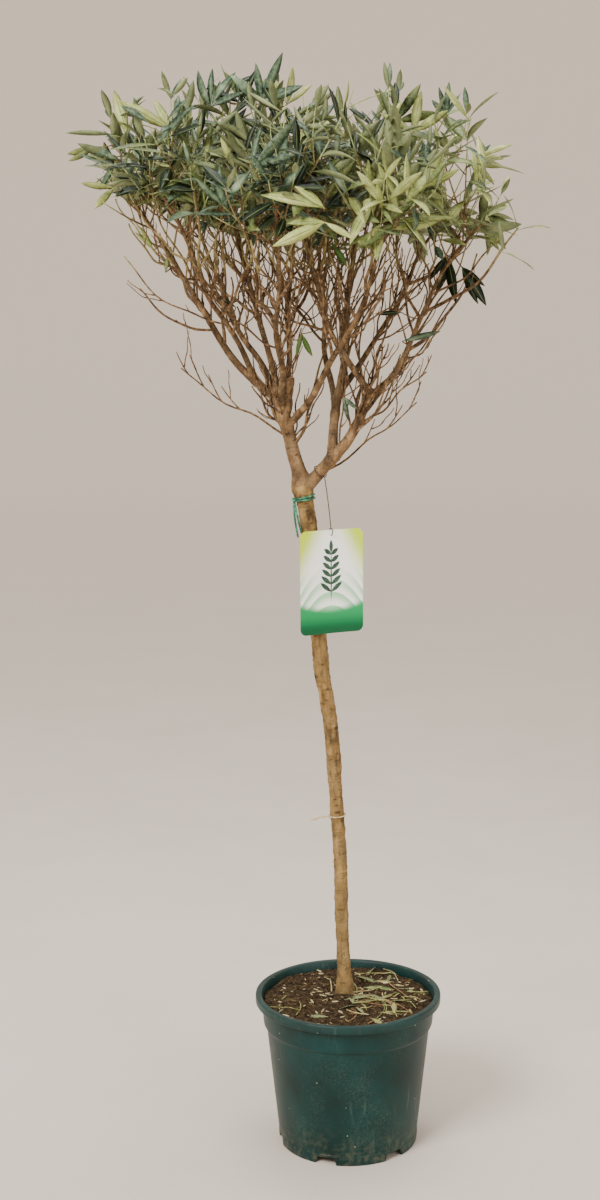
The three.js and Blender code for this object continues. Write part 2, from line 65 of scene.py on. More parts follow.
# The clearance between neighbouring solids, and the rule that deals out the tree's seeded numbers.
GAP = 0.3
LEHMER = {"modulus": 2147483647, "factor": 48271, "seed_factor": 7919, "seed_offset": 104729}
SEEDS = {
    "bark": 20, "bare": 60, "knot": 200, "shoot_end": 500, "shoot": 900, "branchlet": 1300,
    "litter": 1700, "stray": 1900,
}

# The angle past which each kind of piece keeps an edge sharp, and how many points a line is read at.
SHARP = {"bark": 50, "pot": 40, "card": 40, "band": 60}
READINGS = {"length": 201, "joint": 90, "height": 800, "band": 400, "clearance": 41}

# The trunk's centreline as [height, x, y] and its girth.
TRUNK_LINE = [
    [176, -3, 14.5], [300, -9, 17], [390, -11.5, 18], [480, -17.5, 17], [568, -23.5, 15],
    [650, -36.5, 13], [700, -41, 12], [800, -48.5, 10], [860, -55.5, 9], [918, -65.5, 8],
]
TRUNK = {
    "foot_radius": 9, "fork_radius": 12.4, "taper_power": 1.4, "flare": 8.4, "flare_height": 22,
    "bark_foot": 183, "foot_share": 0.03,
}

# The head, as [name, parent, at, tip, lean, girth], as the solids are set out.
LIMB_ROWS = [
    ["leader_left", "trunk", 1, [-101, 6, 1042], [14, 18], [10.2, 8.2]],
    ["leader_right", "trunk", 0.985, [31, -30, 1056], [52, 14], [9.4, 6]],
    ["cut_leader", "leader_left", 0.74, [-82, 12, 1066], [16, 0], [6.4, 5.8]],
    ["bough_far_left", "leader_left", 0.97, [-262, -12, 1258], [58, 34], [6.4, 3]],
    ["bough_left_rear", "leader_left", 0.95, [-206, 142, 1240], [38, 30], [5, 2.8]],
    ["bough_left_inner", "leader_left", 0.99, [-158, 34, 1262], [6, 14], [5, 2.8]],
    ["bough_left_front", "bough_far_left", 0.14, [-208, -136, 1236], [36, 30], [4.6, 2.7]],
    ["bough_front", "leader_left", 0.86, [-92, -186, 1226], [46, 28], [5, 2.8]],
    ["bough_crossing", "leader_left", 0.62, [34, -152, 1224], [54, 24], [5.6, 2.8]],
    ["bough_right_inner", "leader_right", 0.36, [12, 44, 1264], [6, 12], [7.4, 3.2]],
    ["bough_front_inner", "leader_right", 0.96, [-58, -78, 1256], [42, 10], [4.8, 2.7]],
    ["bough_rear_inner", "leader_left", 0.8, [-80, 92, 1258], [30, 12], [4.8, 2.7]],
    ["bough_far_right", "leader_right", 0.9, [124, -44, 1204], [58, 28], [4.8, 2.7]],
    ["bough_right_rear", "bough_right_inner", 0.3, [96, 112, 1222], [48, 28], [4.8, 2.7]],
    ["bough_rear", "bough_right_inner", 0.2, [-42, 196, 1228], [46, 28], [5, 2.8]],
]
LIMB = {"taper_power": 0.8, "collar": 0.3, "collar_reach": 1.6, "wander": 5, "sway_turns": [1.3, 1.7]}
LIMB_ENDS = {"leader_left": "dome", "leader_right": "dome", "cut_leader": "sawn"}

# Each kind of limb's mesh as [sides, spacing of its rings, relief of its bark], and the
# relief's noises as [size, seed, layers, strength], where a size may be one for each direction.
BARK_MESH = {"trunk": [72, 1.6, 1.0], "leader": [48, 1.8, 0.5], "bough": [28, 2.8, 0.26]}
BARK_NOISES = [[11, 0, 3, 1.5], [2.6, 9, 3, 0.5], [[20, 20, 1.5], 17, 2, 1.1]]
BARK = {"seed_step": 40, "drawn_out": 0.45, "fillet": 0.9, "dome_rings": 9}

# Knots dealt along limbs, and every knot's form: a lump round a hollow, with a dark slit across the limb.
KNOT = {
    "spacing": 34, "room": [0.2, 0.8], "width": [1.8, 3.2], "height": [0.4, 1.0], "breadth": 1.3,
    "lump_fall": 0.8, "hollow": 0.85, "hollow_fall": 6, "slit_fall": 2.2,
}

# Bare shoots low in the head, as [name, parent, at, tip, lean, forks].
BARE_ROWS = [
    ["twig_low_left", "leader_left", 0.5, [-234, -18, 1082], [56, 44], 4],
    ["twig_low_right", "leader_right", 0.16, [96, -20, 1034], [62, 48], 3],
    ["twig_mid_right", "leader_right", 0.66, [108, -50, 1078], [64, 54], 3],
]
BARE = {"girth": [1.9, 1.0], "wander": 8, "forks_from": 0.45, "forks_to": 0.92, "swellings": 7}
FORK = {
    "length": 42, "girth": [1.15, 0.7], "ahead": 0.6, "aside": [0.2, 0.5], "rise": [0.3, 0.7], "sag": 4,
    "swellings": 3, "spur_at": [0.4, 0.8],
}

# The crown's layers of shoots, the stem of each mass and the bend of its shoots.
CROWN = {
    "x": -84, "y": 0, "radius": 282, "top": 1447, "drop": 48, "drop_power": 4, "layers": 3,
    "layer_step": 58, "edge_step": 44, "shoots": 92, "overhang": 62, "headroom": 66,
}
CROWN_CENTRE = np.array([CROWN["x"], CROWN["y"]])
MASS = {
    "home_spread": 1.2, "edge_margin": -9, "limb_margin": 1.5, "rise": 78, "outward": 0.24,
    "girth": 2.0, "foot_girth": 1.02, "foot_sunk": -0.02,
}
SHOOT = {
    "girth": [1.6, 0.7], "reach": 200, "foot": [0.1, 0.95], "foot_drop": 0.7, "knee": 0.55,
    "knee_rise": 0.4, "ragged": 20, "extra": 30, "extra_every": 9, "past_end": 1.05, "greening": 3.2,
    "least_leaf": 0.25,
}

# The lowest height at which leaves are dealt, at each
# distance to the left or right: below it the crown is bare.
LOWER_EDGE = {
    "x": [-380, -290, -200, -110, 0, 110, 190], "height": [1345, 1312, 1284, 1256, 1248, 1228, 1200],
}

# The photograph's eye, and the openings it sees through the crown: each an ellipse
# as [x, height, half width, half height] in the upright plane through the origin.
EYE = np.array([-17.0, -2640.0, 1194.0])
OPENINGS = np.array([
    [151, 1342, 19, 28], [22, 1474, 30, 20], [-70, 1478, 30, 22], [112, 1466, 26, 18], [-270, 1450, 27, 20],
    [-319, 1303, 26, 15], [66, 1254, 19, 22], [193, 1240, 21, 28], [24, 1279, 12, 12], [-230, 1236, 24, 22],
    [-358, 1360, 16, 12], [179, 1307, 14, 12],
])

# How pairs of leaves are dealt along each kind of twig, as shares of its length,
# sizes and spreads, what is tried until a pair fits, and a leaf's own size and bend.
PAIRS = {
    "shoot": ([0.4, 0.5475, 0.695, 0.8425, 0.99], [0.86, 1.0, 1.04, 0.94, 0.7], [84, 72.5, 61, 49.5, 38]),
    "side_twig": ([0.5, 0.98], [1.0, 0.72], [54, 30]),
    "branchlet": ([0.8, 0.98], [1.0, 0.8], [66, 42]),
    "whip": ([0.3, 0.62, 0.96], [1.1, 1.0, 0.7], [50, 50, 50]),
}
PAIR = {"tries": 5, "retry_turn": 0.62, "spread": 9, "length": [0.88, 1.1], "tested_at": [0.15, 0.5, 1]}
SIDE_TWIG = {
    "at": [0.36, 0.6], "length": [62, 96], "slant": [36, 52], "girth": [1.0, 0.55], "tries": 6,
    "retry_turn": 1.1, "outward": 0.35, "rise": 0.25, "green_from": 0.45, "largest_leaf": 0.55,
}
LEAF = {
    "length": [50, 86], "slenderness": [0.17, 0.255], "thickness": 0.75, "stalk": 0.055,
    "stalk_width": 1.3, "stalk_fade": 2.4, "point_width": 0.12, "midrib": 0.07, "bend": [-14, 50],
    "fold": [0.05, 0.28], "twist": [-22, 22], "roll": 30, "lift": [-0.62, 0.22], "sunk": 0.6,
    "fullest": 0.94, "fullness": 0.86, "thinning": 0.6,
}

# Leaf colours as [name, dark, middle, light, roughness],
# from deep to young, and one fresh green for odd leaves.
TINTS = [
    ["leaf_deep", (6, 15, 2), (15, 28, 8), (38, 56, 26), 0.46],
    ["leaf_blue", (23, 42, 28), (57, 79, 57), (138, 153, 122), 0.5],
    ["leaf_sage", (44, 58, 20), (92, 104, 50), (154, 162, 102), 0.52],
    ["leaf_olive", (86, 95, 36), (134, 141, 74), (186, 190, 120), 0.54],
    ["leaf_young", (116, 130, 56), (162, 171, 96), (206, 212, 148), 0.56],
    ["leaf_fresh", (38, 68, 18), (60, 94, 30), (92, 122, 50), 0.5],
]
YOUNGEST = 4
FRESH = 5
UNDERSIDE = len(TINTS)
MIDRIB = UNDERSIDE + 1
DRY = UNDERSIDE + 2

# A spray's tint in steps from deep to young: the least, and what the rim,
# each millimetre upwards, the right-hand side and chance add to it. The rim
# and right-hand steps are partly painted light: the crown's inside is painted
# darker, as in shade, and its right-hand side lighter, as if lit more. A leaf
# whose own lot is under or over a limit is a step darker or lighter.
YOUTH_AND_PAINTED_LIGHT = {
    "least": -0.7715, "rim": 1.204, "rim_aside": 0.6, "upwards": -0.00215, "right": 1.29,
    "right_from": -130, "right_reach": 320, "chance": 2.924, "darker_under": 0.24, "lighter_over": 0.8,
}

# Slender bare branchlets that rise off the leaders and boughs under the leaves.
BRANCHLET = {
    "count": {"inner": 20, "outer": 13}, "from": 0.38, "to": 0.97, "length": [60, 200], "shortest": 30,
    "girth": [[1.4, 2.9], [0.85, 1.3]], "stout_reach": 120, "lean": [18, 60], "rise": 0.5, "wander": 4,
    "swelling_every": 22, "olive_above": 1225, "top": 1385, "forks": 3, "fork_shares": [0.25, 0.92],
    "leafy_above": 1270, "largest_leaf": 0.8,
    "cone": {"x": -62, "height": 950, "radius": 46, "slope": 0.82},
    "room": 0.8, "length_power": 1.2, "past_top": 1.05, "more_forks": 0.8,
}
SPUR = {
    "length": [12, 92], "girth": [1.0, 0.6], "turn": 2.2, "lean": [0.5, 1.1], "rise": 0.5,
    "wander": 0.025, "swelling_every": 16, "length_power": 1.5,
}

# Sprays that stand out at the crown's rim and front, and odd leaves lower
# down: the place of the twig's end, the tint, and each leaf's slope in the
# upright plane that faces front, its turn towards the front, and its length.
SPRAYS = [
    [[-306, -40, 1406], 4, [[107, 8, 67]]],
    [[-245, -40, 1413], 4, [[148, 10, 86], [120, 4, 52]]],
    [[-320, -30, 1372], 1, [[154, 6, 54], [233, 10, 52]]],
    [[-326, -30, 1334], 3, [[226, 12, 44], [176, 6, 50]]],
    [[-354, -20, 1392], 2, [[200, 0, 46], [214, 0, 50]]],
    [[-161, -262, 1299], 1, [[52, 14, 62], [100, 20, 54], [136, 15, 50]]],
    [[-123, -276, 1345], 1, [[46, 8, 86], [20, 10, 58], [84, 10, 56]]],
    [[-31, -284, 1294], 4, [[160, 8, 86], [136, 12, 50]]],
    [[-31, -278, 1277], 4, [[205, 6, 74], [176, 8, 50], [-30, 10, 44]]],
    [[-148, -60, 1449], 0, [[65, 6, 56], [152, 5, 42], [100, 0, 40]]],
    [[-84, -70, 1446], 3, [[118, 4, 50], [78, 4, 54], [40, 0, 46]]],
    [[-190, -60, 1444], 1, [[62, 8, 62], [118, 6, 58], [24, 10, 52], [92, 0, 56]]],
    [[-118, -90, 1448], 1, [[66, 8, 74], [140, 6, 58], [20, 10, 62], [98, 0, 54]]],
    [[-142, 20, 1454], 2, [[48, 4, 56], [128, 6, 60], [88, 0, 44]]],
    [[66, -80, 1422], 2, [[58, 8, 62], [128, 6, 56], [12, 10, 58]]],
    [[88, -110, 1404], 3, [[34, 10, 58], [150, 8, 54], [82, 4, 60]]],
    [[137, -20, 1436], 1, [[108, 5, 42], [85, 8, 48], [58, 0, 38], [134, 0, 34]]],
    [[182, -10, 1377], 3, [[28, 8, 58], [4, 0, 40]]],
    [[171, -14, 1374], 3, [[-61, 6, 38], [-38, 4, 52], [-12, 0, 50]]],
    [[183, 0, 1297], 2, [[-62, 5, 62], [-45, 0, 68], [-14, 0, 56], [20, 0, 44]]],
    [[96, -120, 1330], 4, [[60, 10, 62], [-150, 12, 56], [20, 10, 60]]],
    [[138, -30, 1240], 0, [[-100, 8, 58], [-126, 5, 46], [-78, 14, 74]]],
    [[158, -30, 1224], 0, [[-56, 10, 66], [-38, 4, 44], [-70, 18, 60]]],
    [[-273, -20, 1247], 3, [[128, 8, 38], [118, 8, 40]]],
    [[-256, -20, 1216], 2, [[80, 0, 26]]],
    [[-156, -40, 1167], 0, [[145, 0, 26]]],
    [[-64, -60, 1131], FRESH, [[-70, 10, 36], [-104, 20, 32]]],
    [[-24, -120, 1255], FRESH, [[-52, 10, 42]]],
    [[75, -40, 1120], 1, [[14, 0, 56]]],
    [[74, -40, 1160], 0, [[182, 0, 38]]],
    [[-7, -40, 1043], 1, [[-42, 0, 28], [-75, 0, 36]]],
]
SPRAY_STALK = {"girth": [1.2, 0.8], "sag": 0.12, "olive_above": 1290}

# Long pale whips over the crown, each as a foot, a knee and a head.
WHIPS = [
    [[-68, -120, 1376], [-44, -124, 1428], [58, -130, 1460]],
    [[-70, -190, 1326], [-73, -196, 1372], [-66, -190, 1424]],
    [[30, -168, 1318], [34, -176, 1366], [52, -170, 1402]],
    [[-212, -150, 1300], [-222, -158, 1340], [-246, -150, 1392]],
    [[96, -60, 1350], [128, -66, 1392], [168, -60, 1412]],
]
WHIP = {"girth": [1.5, 0.8], "leaf": 44}

# The pot's profile, its notches and drain holes, and the compost in it.
POT = {
    "height": 202, "wall": 2.4, "rim_radius": 130, "rim_depth": 11, "rim_round": 2, "collar_top": 121.5,
    "collar_bottom": 118.5, "collar_depth": 29, "step": 4, "foot_radius": 96.5, "foot_width": 3.5,
    "foot_band": 14, "foot_swell": [0.9, 0.5], "foot_bevel": 1.6, "gutter_outer": 88,
    "gutter_inner": 60, "gutter_height": 11, "gutter_slope": 4, "columns": 360, "wobble": [0.35, 0.6],
    "corner_steps": 5, "step_length": 4, "near": 0.4, "lean": 0.2,
}
RIM_BASE = POT["height"] - POT["rim_depth"]
COLLAR_BASE = RIM_BASE - POT["collar_depth"]
STEP_RADIUS = POT["collar_bottom"] - POT["step"]
GUTTER_FOOT = POT["gutter_inner"] - POT["gutter_slope"]
NOTCH = {"count": 6, "half_width": 9.0, "edge": 1.4, "height": 9.5, "first_angle": -109}
DRAIN = {"radius": 5, "ring": 74, "depth": 40, "sides": 32}
SOIL = {
    "top": 190, "edge_top": 187, "slope": 26, "columns": 240, "rows": 110,
    "lumps": [[26, 71, 3.6], [5.5, 83, 2.0]], "raised": 4.6, "mound": 2.2, "mound_reach": 40,
    "trunk_room": 18, "step_length": 6,
}

# What is strewn on the compost, some of it moved to the right and the front. Each kind has its
# count, its seed, the share so moved and its own measures: a crumb's size is its least, what chance
# adds and what a pale one gains, and its stretch each way is the same three for a chip. The leaves
# given one by one are [x, y, direction, length, tint].
STREWN = {"from_edge": 4, "to_right": 0.95, "front_share": 0.7, "front_from": 18, "to_front": 0.9}
CRUMB = {
    "count": 1900, "seed": 5, "moved": 0, "rings": 4, "sides": 6, "brown_from": 0.86, "pale_from": 0.945,
    "size": [0.5, 1.5, 0.3], "stretch": [[0.8, 0.8, 2.2], [0.8, 0.4, -0.4], [0.7, 0.3, -0.3]],
    "highest_ring": 0.8, "rough": 0.5, "raised": 0.3, "form_seed": 31, "rough_seed": 47,
}
STRAW = {
    "count": 52, "seed": 3, "moved": 0.6, "length": [10, 68], "hook": [-0.5, 0.5], "girth": [0.5, 1.15],
    "tip_girth": 0.8, "sides": 5, "length_power": 1.8, "from_edge": 3, "lying": 0.55, "above": 0.9,
    "lift": 4, "lift_from": 0.7,
}
FALLEN = {
    "count": 20, "seed": 8, "moved": 0.5, "length": [18, 42], "dry": 0.7, "bend": 0.25, "twist": 0.3,
    "slope": 0.05, "above": 0.5,
}
FALLEN_LEAVES = [
    [32, 57, -38, 46, UNDERSIDE],
    [20, -8, 28, 56, UNDERSIDE],
    [60, 66, 82, 36, UNDERSIDE],
    [74, -22, 12, 44, UNDERSIDE],
    [54, -62, 160, 40, DRY],
    [46, 24, -8, 48, 2],
]

# Two bands round the trunk. The tail and the bow before it are [across, up] from the knot.
TIE = {
    "height": 896, "wire": 1.5, "lifts": [-1.7, 1.7], "tilt": 3.0, "twist": 0, "tail": [8, -52],
    "bow": [1, -18],
}
STRING = {
    "height": 444, "wire": 0.9, "lifts": [0], "tilt": 0, "twist": 40, "tail": [-25, -5],
    "bow": [-12, 2],
}
BAND = {
    "room": 0.8, "sides": 10, "ring_steps": 96, "ripple": 0.25, "knot_side": [-1.0, -0.5, 0.0],
    "knot_turns": 2.2, "knot_steps": 60, "knot_out": 1.2, "coil": [1.1, 1.5, 0.9],
    "tail_apart": 2.4, "tail_forward": 2.0, "tail_shorter": 0.12,
    "tail_steps": 40,
}

CARD = {
    "width": 100, "height": 146, "thickness": 0.6, "corner": 9, "x": -20, "top": 852, "turn": 28,
    "drop": 8, "room": 0.5, "bow": 2.4, "rows": 61, "columns": 41,
}
THREAD = {"wire": 0.7, "at": 0.2, "sides": 8, "eye_room": 1, "sway": 0.6, "steps": [64, 48, 24]}

# The printed sprig: its stem and its top leaf as [share up,
# direction, length, width], and the pairs between.
PRINT = {
    "stem": [0.3, 90, 78, 2.4], "top": [0.78, 90, 18, 6], "pairs": 6, "pair_shares": [0.4, 0.76],
    "directions": [38, 142], "length": 22, "shorter": 1.6, "width": 6.4, "fullness": 0.8, "proud": 0.06,
}

# The pale floor round the part, the lamps as [name, place,
# aim, size, power] in metres and watts, and the camera.
DISH = {"radius": 9500, "bend": 2500, "height": 7000, "columns": 96, "level_rings": 12, "bend_rings": 25}
LAMPS = [
    ["key_light", (-1.9, -2.6, 2.8), (0, 0, 0.95), 1.5, 196],
    ["fill_light", (2.6, -2.4, 1.5), (0, 0, 0.9), 2.4, 58],
    ["top_light", (0.1, 0.5, 3.6), (0, 0, 1.0), 1.8, 86],
]
CAMERA = {"lens": 56.15, "shift_x": -0.03, "shift_y": -0.26, "clip_end": 60}
SKY = {"Color": (1.0, 0.98, 0.96, 1), "Strength": 0.68}

# Knots and scars on the trunk as [height, angle from +X,
# width, height of the lump], read off the real trunk.
TRUNK_KNOTS = [
    [663, -78, 3.0, 0.9], [646, -150, 4.0, 1.3], [627, -70, 3.2, 1.0], [612, -92, 2.4, 0.6],
    [571, -48, 4.6, 1.5], [535, -62, 3.0, 0.8], [471, -96, 3.0, 0.9], [462, -90, 3.4, 1.0],
    [452, -88, 5.2, 1.3], [384, -132, 2.6, 0.7], [364, -40, 2.6, 0.8], [341, -20, 3.2, 1.1],
    [303, -14, 3.0, 1.0], [890, -84, 3.6, 0.9], [880, -80, 4.4, 1.1], [862, -70, 3.4, 0.8],
    [742, -60, 3.4, 0.9], [704, -118, 3.2, 0.9], [520, 60, 4.0, 1.1], [600, 110, 3.4, 1.0],
    [690, 76, 4.2, 1.2], [790, 130, 3.6, 1.0], [400, 86, 3.8, 1.1], [330, 150, 3.4, 0.9],
]

# Knots on the two leaders as [share of the length, angle, width, height
# of the lump], angle 0 in front on the left one and 180 on the right one.
LEADER_KNOTS = {
    "leader_left": [
        [0.16, -30, 3.2, 0.7], [0.3, 20, 3.8, 0.9], [0.4, -36, 3.4, 0.8], [0.48, 34, 3.4, 0.9],
        [0.58, -12, 3.8, 0.9], [0.7, 26, 3.2, 0.7], [0.82, -20, 3.8, 1.0], [0.9, 160, 3.4, 0.9],
    ],
    "leader_right": [
        [0.2, 170, 3.6, 0.8], [0.36, 204, 3.2, 0.9], [0.55, 160, 3.6, 0.9], [0.72, 196, 3.2, 0.8],
        [0.88, 20, 3.4, 0.9],
    ],
}


def seeded_row(seed):
    """The next number from 0 to 1 at each call: state times
    a factor, modulo a large prime, over that prime."""
    state = (seed * LEHMER["seed_factor"] + LEHMER["seed_offset"]) % LEHMER["modulus"]

    def draw():
        nonlocal state
        state = (state * LEHMER["factor"]) % LEHMER["modulus"]
        return state / LEHMER["modulus"]

    draw()
    draw()
    return draw


def lerp(start, end, share):
    """The value a share of the way from start to end."""
    return start + (end - start) * share


def unit(vectors):
    """Each vector divided by its own length."""
    return vectors / np.linalg.norm(vectors, axis=-1, keepdims=True)


def turned(vector, axis, angle):
    """A vector turned about an axis square to it: vector times
    the cosine, plus axis cross vector times the sine."""
    return vector * math.cos(angle) + np.cross(axis, vector) * math.sin(angle)


def lattice_value(cells, seed):
    """A number from 0 to 1 for each whole-numbered cell: the
    fraction left by a large sine of its weighted sum."""
    weights = np.array([127.1, 311.7, 74.7])
    return (np.sin(cells @ weights + seed * 19.19) * 43758.5453) % 1.0


def smooth_noise(points, seed):
    """Noise from 0 to 1: the eight corners of each point's cell, weighted by 3f squared less 2f cubed."""
    base = np.floor(points)
    part = points - base
    blend = part * part * (3 - 2 * part)
    total = np.zeros(points.shape[:-1])
    for corner in itertools.product((0.0, 1.0), repeat=3):
        weight = np.prod(np.where(np.array(corner) > 0, blend, 1 - blend), axis=-1)
        total += weight * lattice_value(base + np.array(corner), seed)
    return total


def layered_noise(points, seed, layers):
    """Noise about 0: each layer is twice as fine and half as strong as the one before."""
    total = np.zeros(points.shape[:-1])
    for layer in range(layers):
        total += (smooth_noise(points * 2.0**layer, seed + layer) - 0.5) / 2.0**layer
    return total


class Surface:
    """Points with four- and three-cornered faces, and a finish number for each face."""

    def __init__(self, points, quads, tris=(), quad_finish=0, tri_finish=0):
        self.points = points.reshape(-1, 3)
        self.quads = quads.reshape(-1, 4)
        self.tris = np.array(tris, int).reshape(-1, 3)
        self.quad_finish = np.broadcast_to(quad_finish, len(self.quads))
        self.tri_finish = np.broadcast_to(tri_finish, len(self.tris))


def joined(surfaces):
    """Several surfaces as one: each one's face numbers are moved on past the points before it."""
    starts = np.cumsum([0] + [len(each.points) for each in surfaces])
    return Surface(
        np.concatenate([each.points for each in surfaces]),
        np.concatenate([each.quads + start for each, start in zip(surfaces, starts)]),
        np.concatenate([each.tris + start for each, start in zip(surfaces, starts)]),
        np.concatenate([each.quad_finish for each in surfaces]),
        np.concatenate([each.tri_finish for each in surfaces]),
    )


def copied(points, quads, tris, quad_finish=0, tri_finish=0):
    """Copies of one set of faces as one surface: a row of
    points for each copy, its face numbers moved on."""
    shifts = (np.arange(len(points)) * points.shape[1])[:, None, None]
    return Surface(points, quads + shifts, tris + shifts, quad_finish, tri_finish)


def make_piece(name, surface, materials, replaces=(), sharp_angle=None):
    """A smooth-shaded mesh object at the origin, in metres,
    that rides on the body and stands for CAD nodes."""
    mesh = bpy.data.meshes.new(name)
    corners = np.concatenate([surface.quads.ravel(), surface.tris.ravel()])
    sizes = np.concatenate([np.full(len(surface.quads), 4), np.full(len(surface.tris), 3)])
    mesh.vertices.add(len(surface.points))
    mesh.vertices.foreach_set("co", (surface.points * METRES).ravel())
    mesh.loops.add(len(corners))
    mesh.loops.foreach_set("vertex_index", corners)
    mesh.polygons.add(len(sizes))
    mesh.polygons.foreach_set("loop_start", np.cumsum(sizes) - sizes)
    mesh.polygons.foreach_set("use_smooth", np.ones(len(sizes), bool))
    for material in materials:
        mesh.materials.append(material)
    finish = np.concatenate([surface.quad_finish, surface.tri_finish]).astype(np.int32)
    mesh.polygons.foreach_set("material_index", finish)
    mesh.update(calc_edges=True)
    if sharp_angle is not None:
        mesh.set_sharp_from_angle(angle=math.radians(sharp_angle))
    piece = bpy.data.objects.new(name, mesh)
    bpy.context.scene.collection.objects.link(piece)
    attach(piece, BODY)
    if replaces:
        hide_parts(*replaces)
    return piece


def set_values(piece, name, values):
    """Stores one number per point on a piece, for its material to read by name."""
    attribute = piece.data.attributes.new(name, "FLOAT", "POINT")
    attribute.data.foreach_set("value", values.astype(np.float32))


def grid_quads(rows, columns, ring):
    """Faces between neighbouring rows and columns of a grid; in a ring the last column meets the first."""
    row = np.arange(rows - 1)[:, None] * columns
    column = np.arange(columns if ring else columns - 1)
    after = (column + 1) % columns
    corners = [row + column, row + after, row + columns + after, row + columns + column]
    return np.stack(corners, axis=-1).reshape(-1, 4)


def capped_ring_faces(rows, columns):
    """The faces of one tube of rings, and fans to a point before its first ring and one after its last."""
    column = np.arange(columns)
    after = (column + 1) % columns
    pole = np.full(columns, rows * columns)
    last = (rows - 1) * columns
    start_fan = np.stack([after, column, pole], axis=-1)
    end_fan = np.stack([column + last, after + last, pole + 1], axis=-1)
    return grid_quads(rows, columns, True), np.concatenate([start_fan, end_fan])


def ring_frames(paths, toward):
    """Two directions square to each path: toward less its share along the path, and the path cross that."""
    tangents = unit(np.gradient(paths, axis=-2))
    along = np.sum(toward * tangents, axis=-1, keepdims=True)
    normals = unit(toward - along * tangents)
    return normals, np.cross(tangents, normals)


def tubes(paths, radii, sides, toward):
    """Capped tubes along many paths of equal length: path
    plus radius times cosine and sine of the ring's angle."""
    count, stations = radii.shape
    normals, asides = ring_frames(paths, toward)
    angles = np.linspace(0, 2 * np.pi, sides, endpoint=False)
    ring = np.cos(angles)[:, None] * normals[:, :, None] + np.sin(angles)[:, None] * asides[:, :, None]
    shell = (paths[:, :, None] + radii[:, :, None, None] * ring).reshape(count, -1, 3)
    points = np.concatenate([shell, paths[:, :1], paths[:, -1:]], axis=1)
    return copied(points, *capped_ring_faces(stations, sides))


def wire_tube(path, wire, sides, toward):
    """One round wire of even radius along a path."""
    return tubes(path[None], np.full((1, len(path)), wire), sides, toward)


def run_along(points):
    """How far each point of a path lies along it: the summed chords before it."""
    return np.concatenate([[0], np.cumsum(np.linalg.norm(np.diff(points, axis=0), axis=1))])


def bezier(controls, t):
    """The quadratic curve through foot and head that bends towards the knee, at each share t."""
    foot, knee, head = controls
    t = np.asarray(t, float)[..., None]
    return (1 - t) ** 2 * foot + 2 * t * (1 - t) * knee + t**2 * head


def rings_of(profile, columns):
    """A ring of points about the upright axis for each [radius, height] row of a profile."""
    angles = np.linspace(0, 2 * np.pi, columns, endpoint=False)
    radius, height = profile[:, :1], profile[:, 1:]
    return np.stack([radius * np.cos(angles), radius * np.sin(angles), height + 0 * angles], axis=-1)


def turned_surface(profile, columns):
    """A closed profile of [radius, height] rows turned about the upright axis, both ends on the axis."""
    shell = rings_of(profile[1:-1], columns)
    poles = np.array([[0, 0, profile[0, 1]], [0, 0, profile[-1, 1]]])
    return Surface(np.concatenate([shell.reshape(-1, 3), poles]), *capped_ring_faces(len(shell), columns))


def refined(profile, step):
    """A profile with points added along its straight runs, none farther apart than a step."""
    rows = []
    for start, end in zip(profile[:-1], profile[1:]):
        pieces = max(1, math.ceil(np.linalg.norm(end - start) / step))
        rows.append(lerp(start, end, np.linspace(0, 1, pieces, endpoint=False)[:, None]))
    rows.append(profile[-1:])
    return np.concatenate(rows)


def rounded(profile, radius, steps):
    """A profile with each inner corner replaced by a quadratic bend that starts a radius before it."""
    rows = [profile[:1]]
    for before, corner, after in zip(profile[:-2], profile[1:-1], profile[2:]):
        back, ahead = before - corner, after - corner
        reach = min(radius, np.linalg.norm(back) * 0.45, np.linalg.norm(ahead) * 0.45)
        controls = [corner + unit(back) * reach, corner, corner + unit(ahead) * reach]
        rows.append(bezier(controls, np.linspace(0, 1, steps)))
    rows.append(profile[-1:])
    return np.concatenate(rows)


class Wires:
    """Adds nodes to a material or a group and joins them: a value that is a socket becomes a link."""

    def __init__(self, tree):
        self.tree = tree

    def add(self, kind, settings=None, **values):
        node = self.tree.nodes.new(kind)
        for name, value in (settings or {}).items():
            setattr(node, name, value)
        for name, value in values.items():
            self.put(node.inputs[name.replace("_", " ")], value)
        return node

    def put(self, socket, value):
        if isinstance(value, bpy.types.NodeSocket):
            self.tree.links.new(value, socket)
        else:
            socket.default_value = value

    def noise(self, vector, scale, detail=4, roughness=0.55):
        values = {"Vector": vector, "Scale": scale, "Detail": detail, "Roughness": roughness}
        return self.add("ShaderNodeTexNoise", **values).outputs["Fac"]

    def stretch(self, vector, scale):
        return self.add("ShaderNodeMapping", Vector=vector, Scale=scale).outputs["Vector"]

    def height(self, vector):
        return self.add("ShaderNodeSeparateXYZ", Vector=vector).outputs["Z"]

    def attribute(self, name):
        return self.add("ShaderNodeAttribute", {"attribute_name": name}).outputs["Fac"]

    def group(self, tree, **values):
        return self.add("ShaderNodeGroup", {"node_tree": tree}, **values).outputs

    def span(self, value, start, end, low=0.0, high=1.0):
        node = self.add("ShaderNodeMapRange", {"interpolation_type": "SMOOTHSTEP"}, Value=value)
        for name, number in (("From Min", start), ("From Max", end), ("To Min", low), ("To Max", high)):
            node.inputs[name].default_value = number
        return node.outputs["Result"]

    def math(self, operation, first, second):
        node = self.add("ShaderNodeMath", {"operation": operation})
        self.put(node.inputs[0], first)
        self.put(node.inputs[1], second)
        return node.outputs["Value"]

    def times(self, first, second):
        return self.math("MULTIPLY", first, second)

    def mix(self, share, first, second):
        node = self.add("ShaderNodeMix", {"data_type": "RGBA"})
        self.put(node.inputs[0], share)
        self.put(node.inputs[6], first)
        self.put(node.inputs[7], second)
        return node.outputs[2]


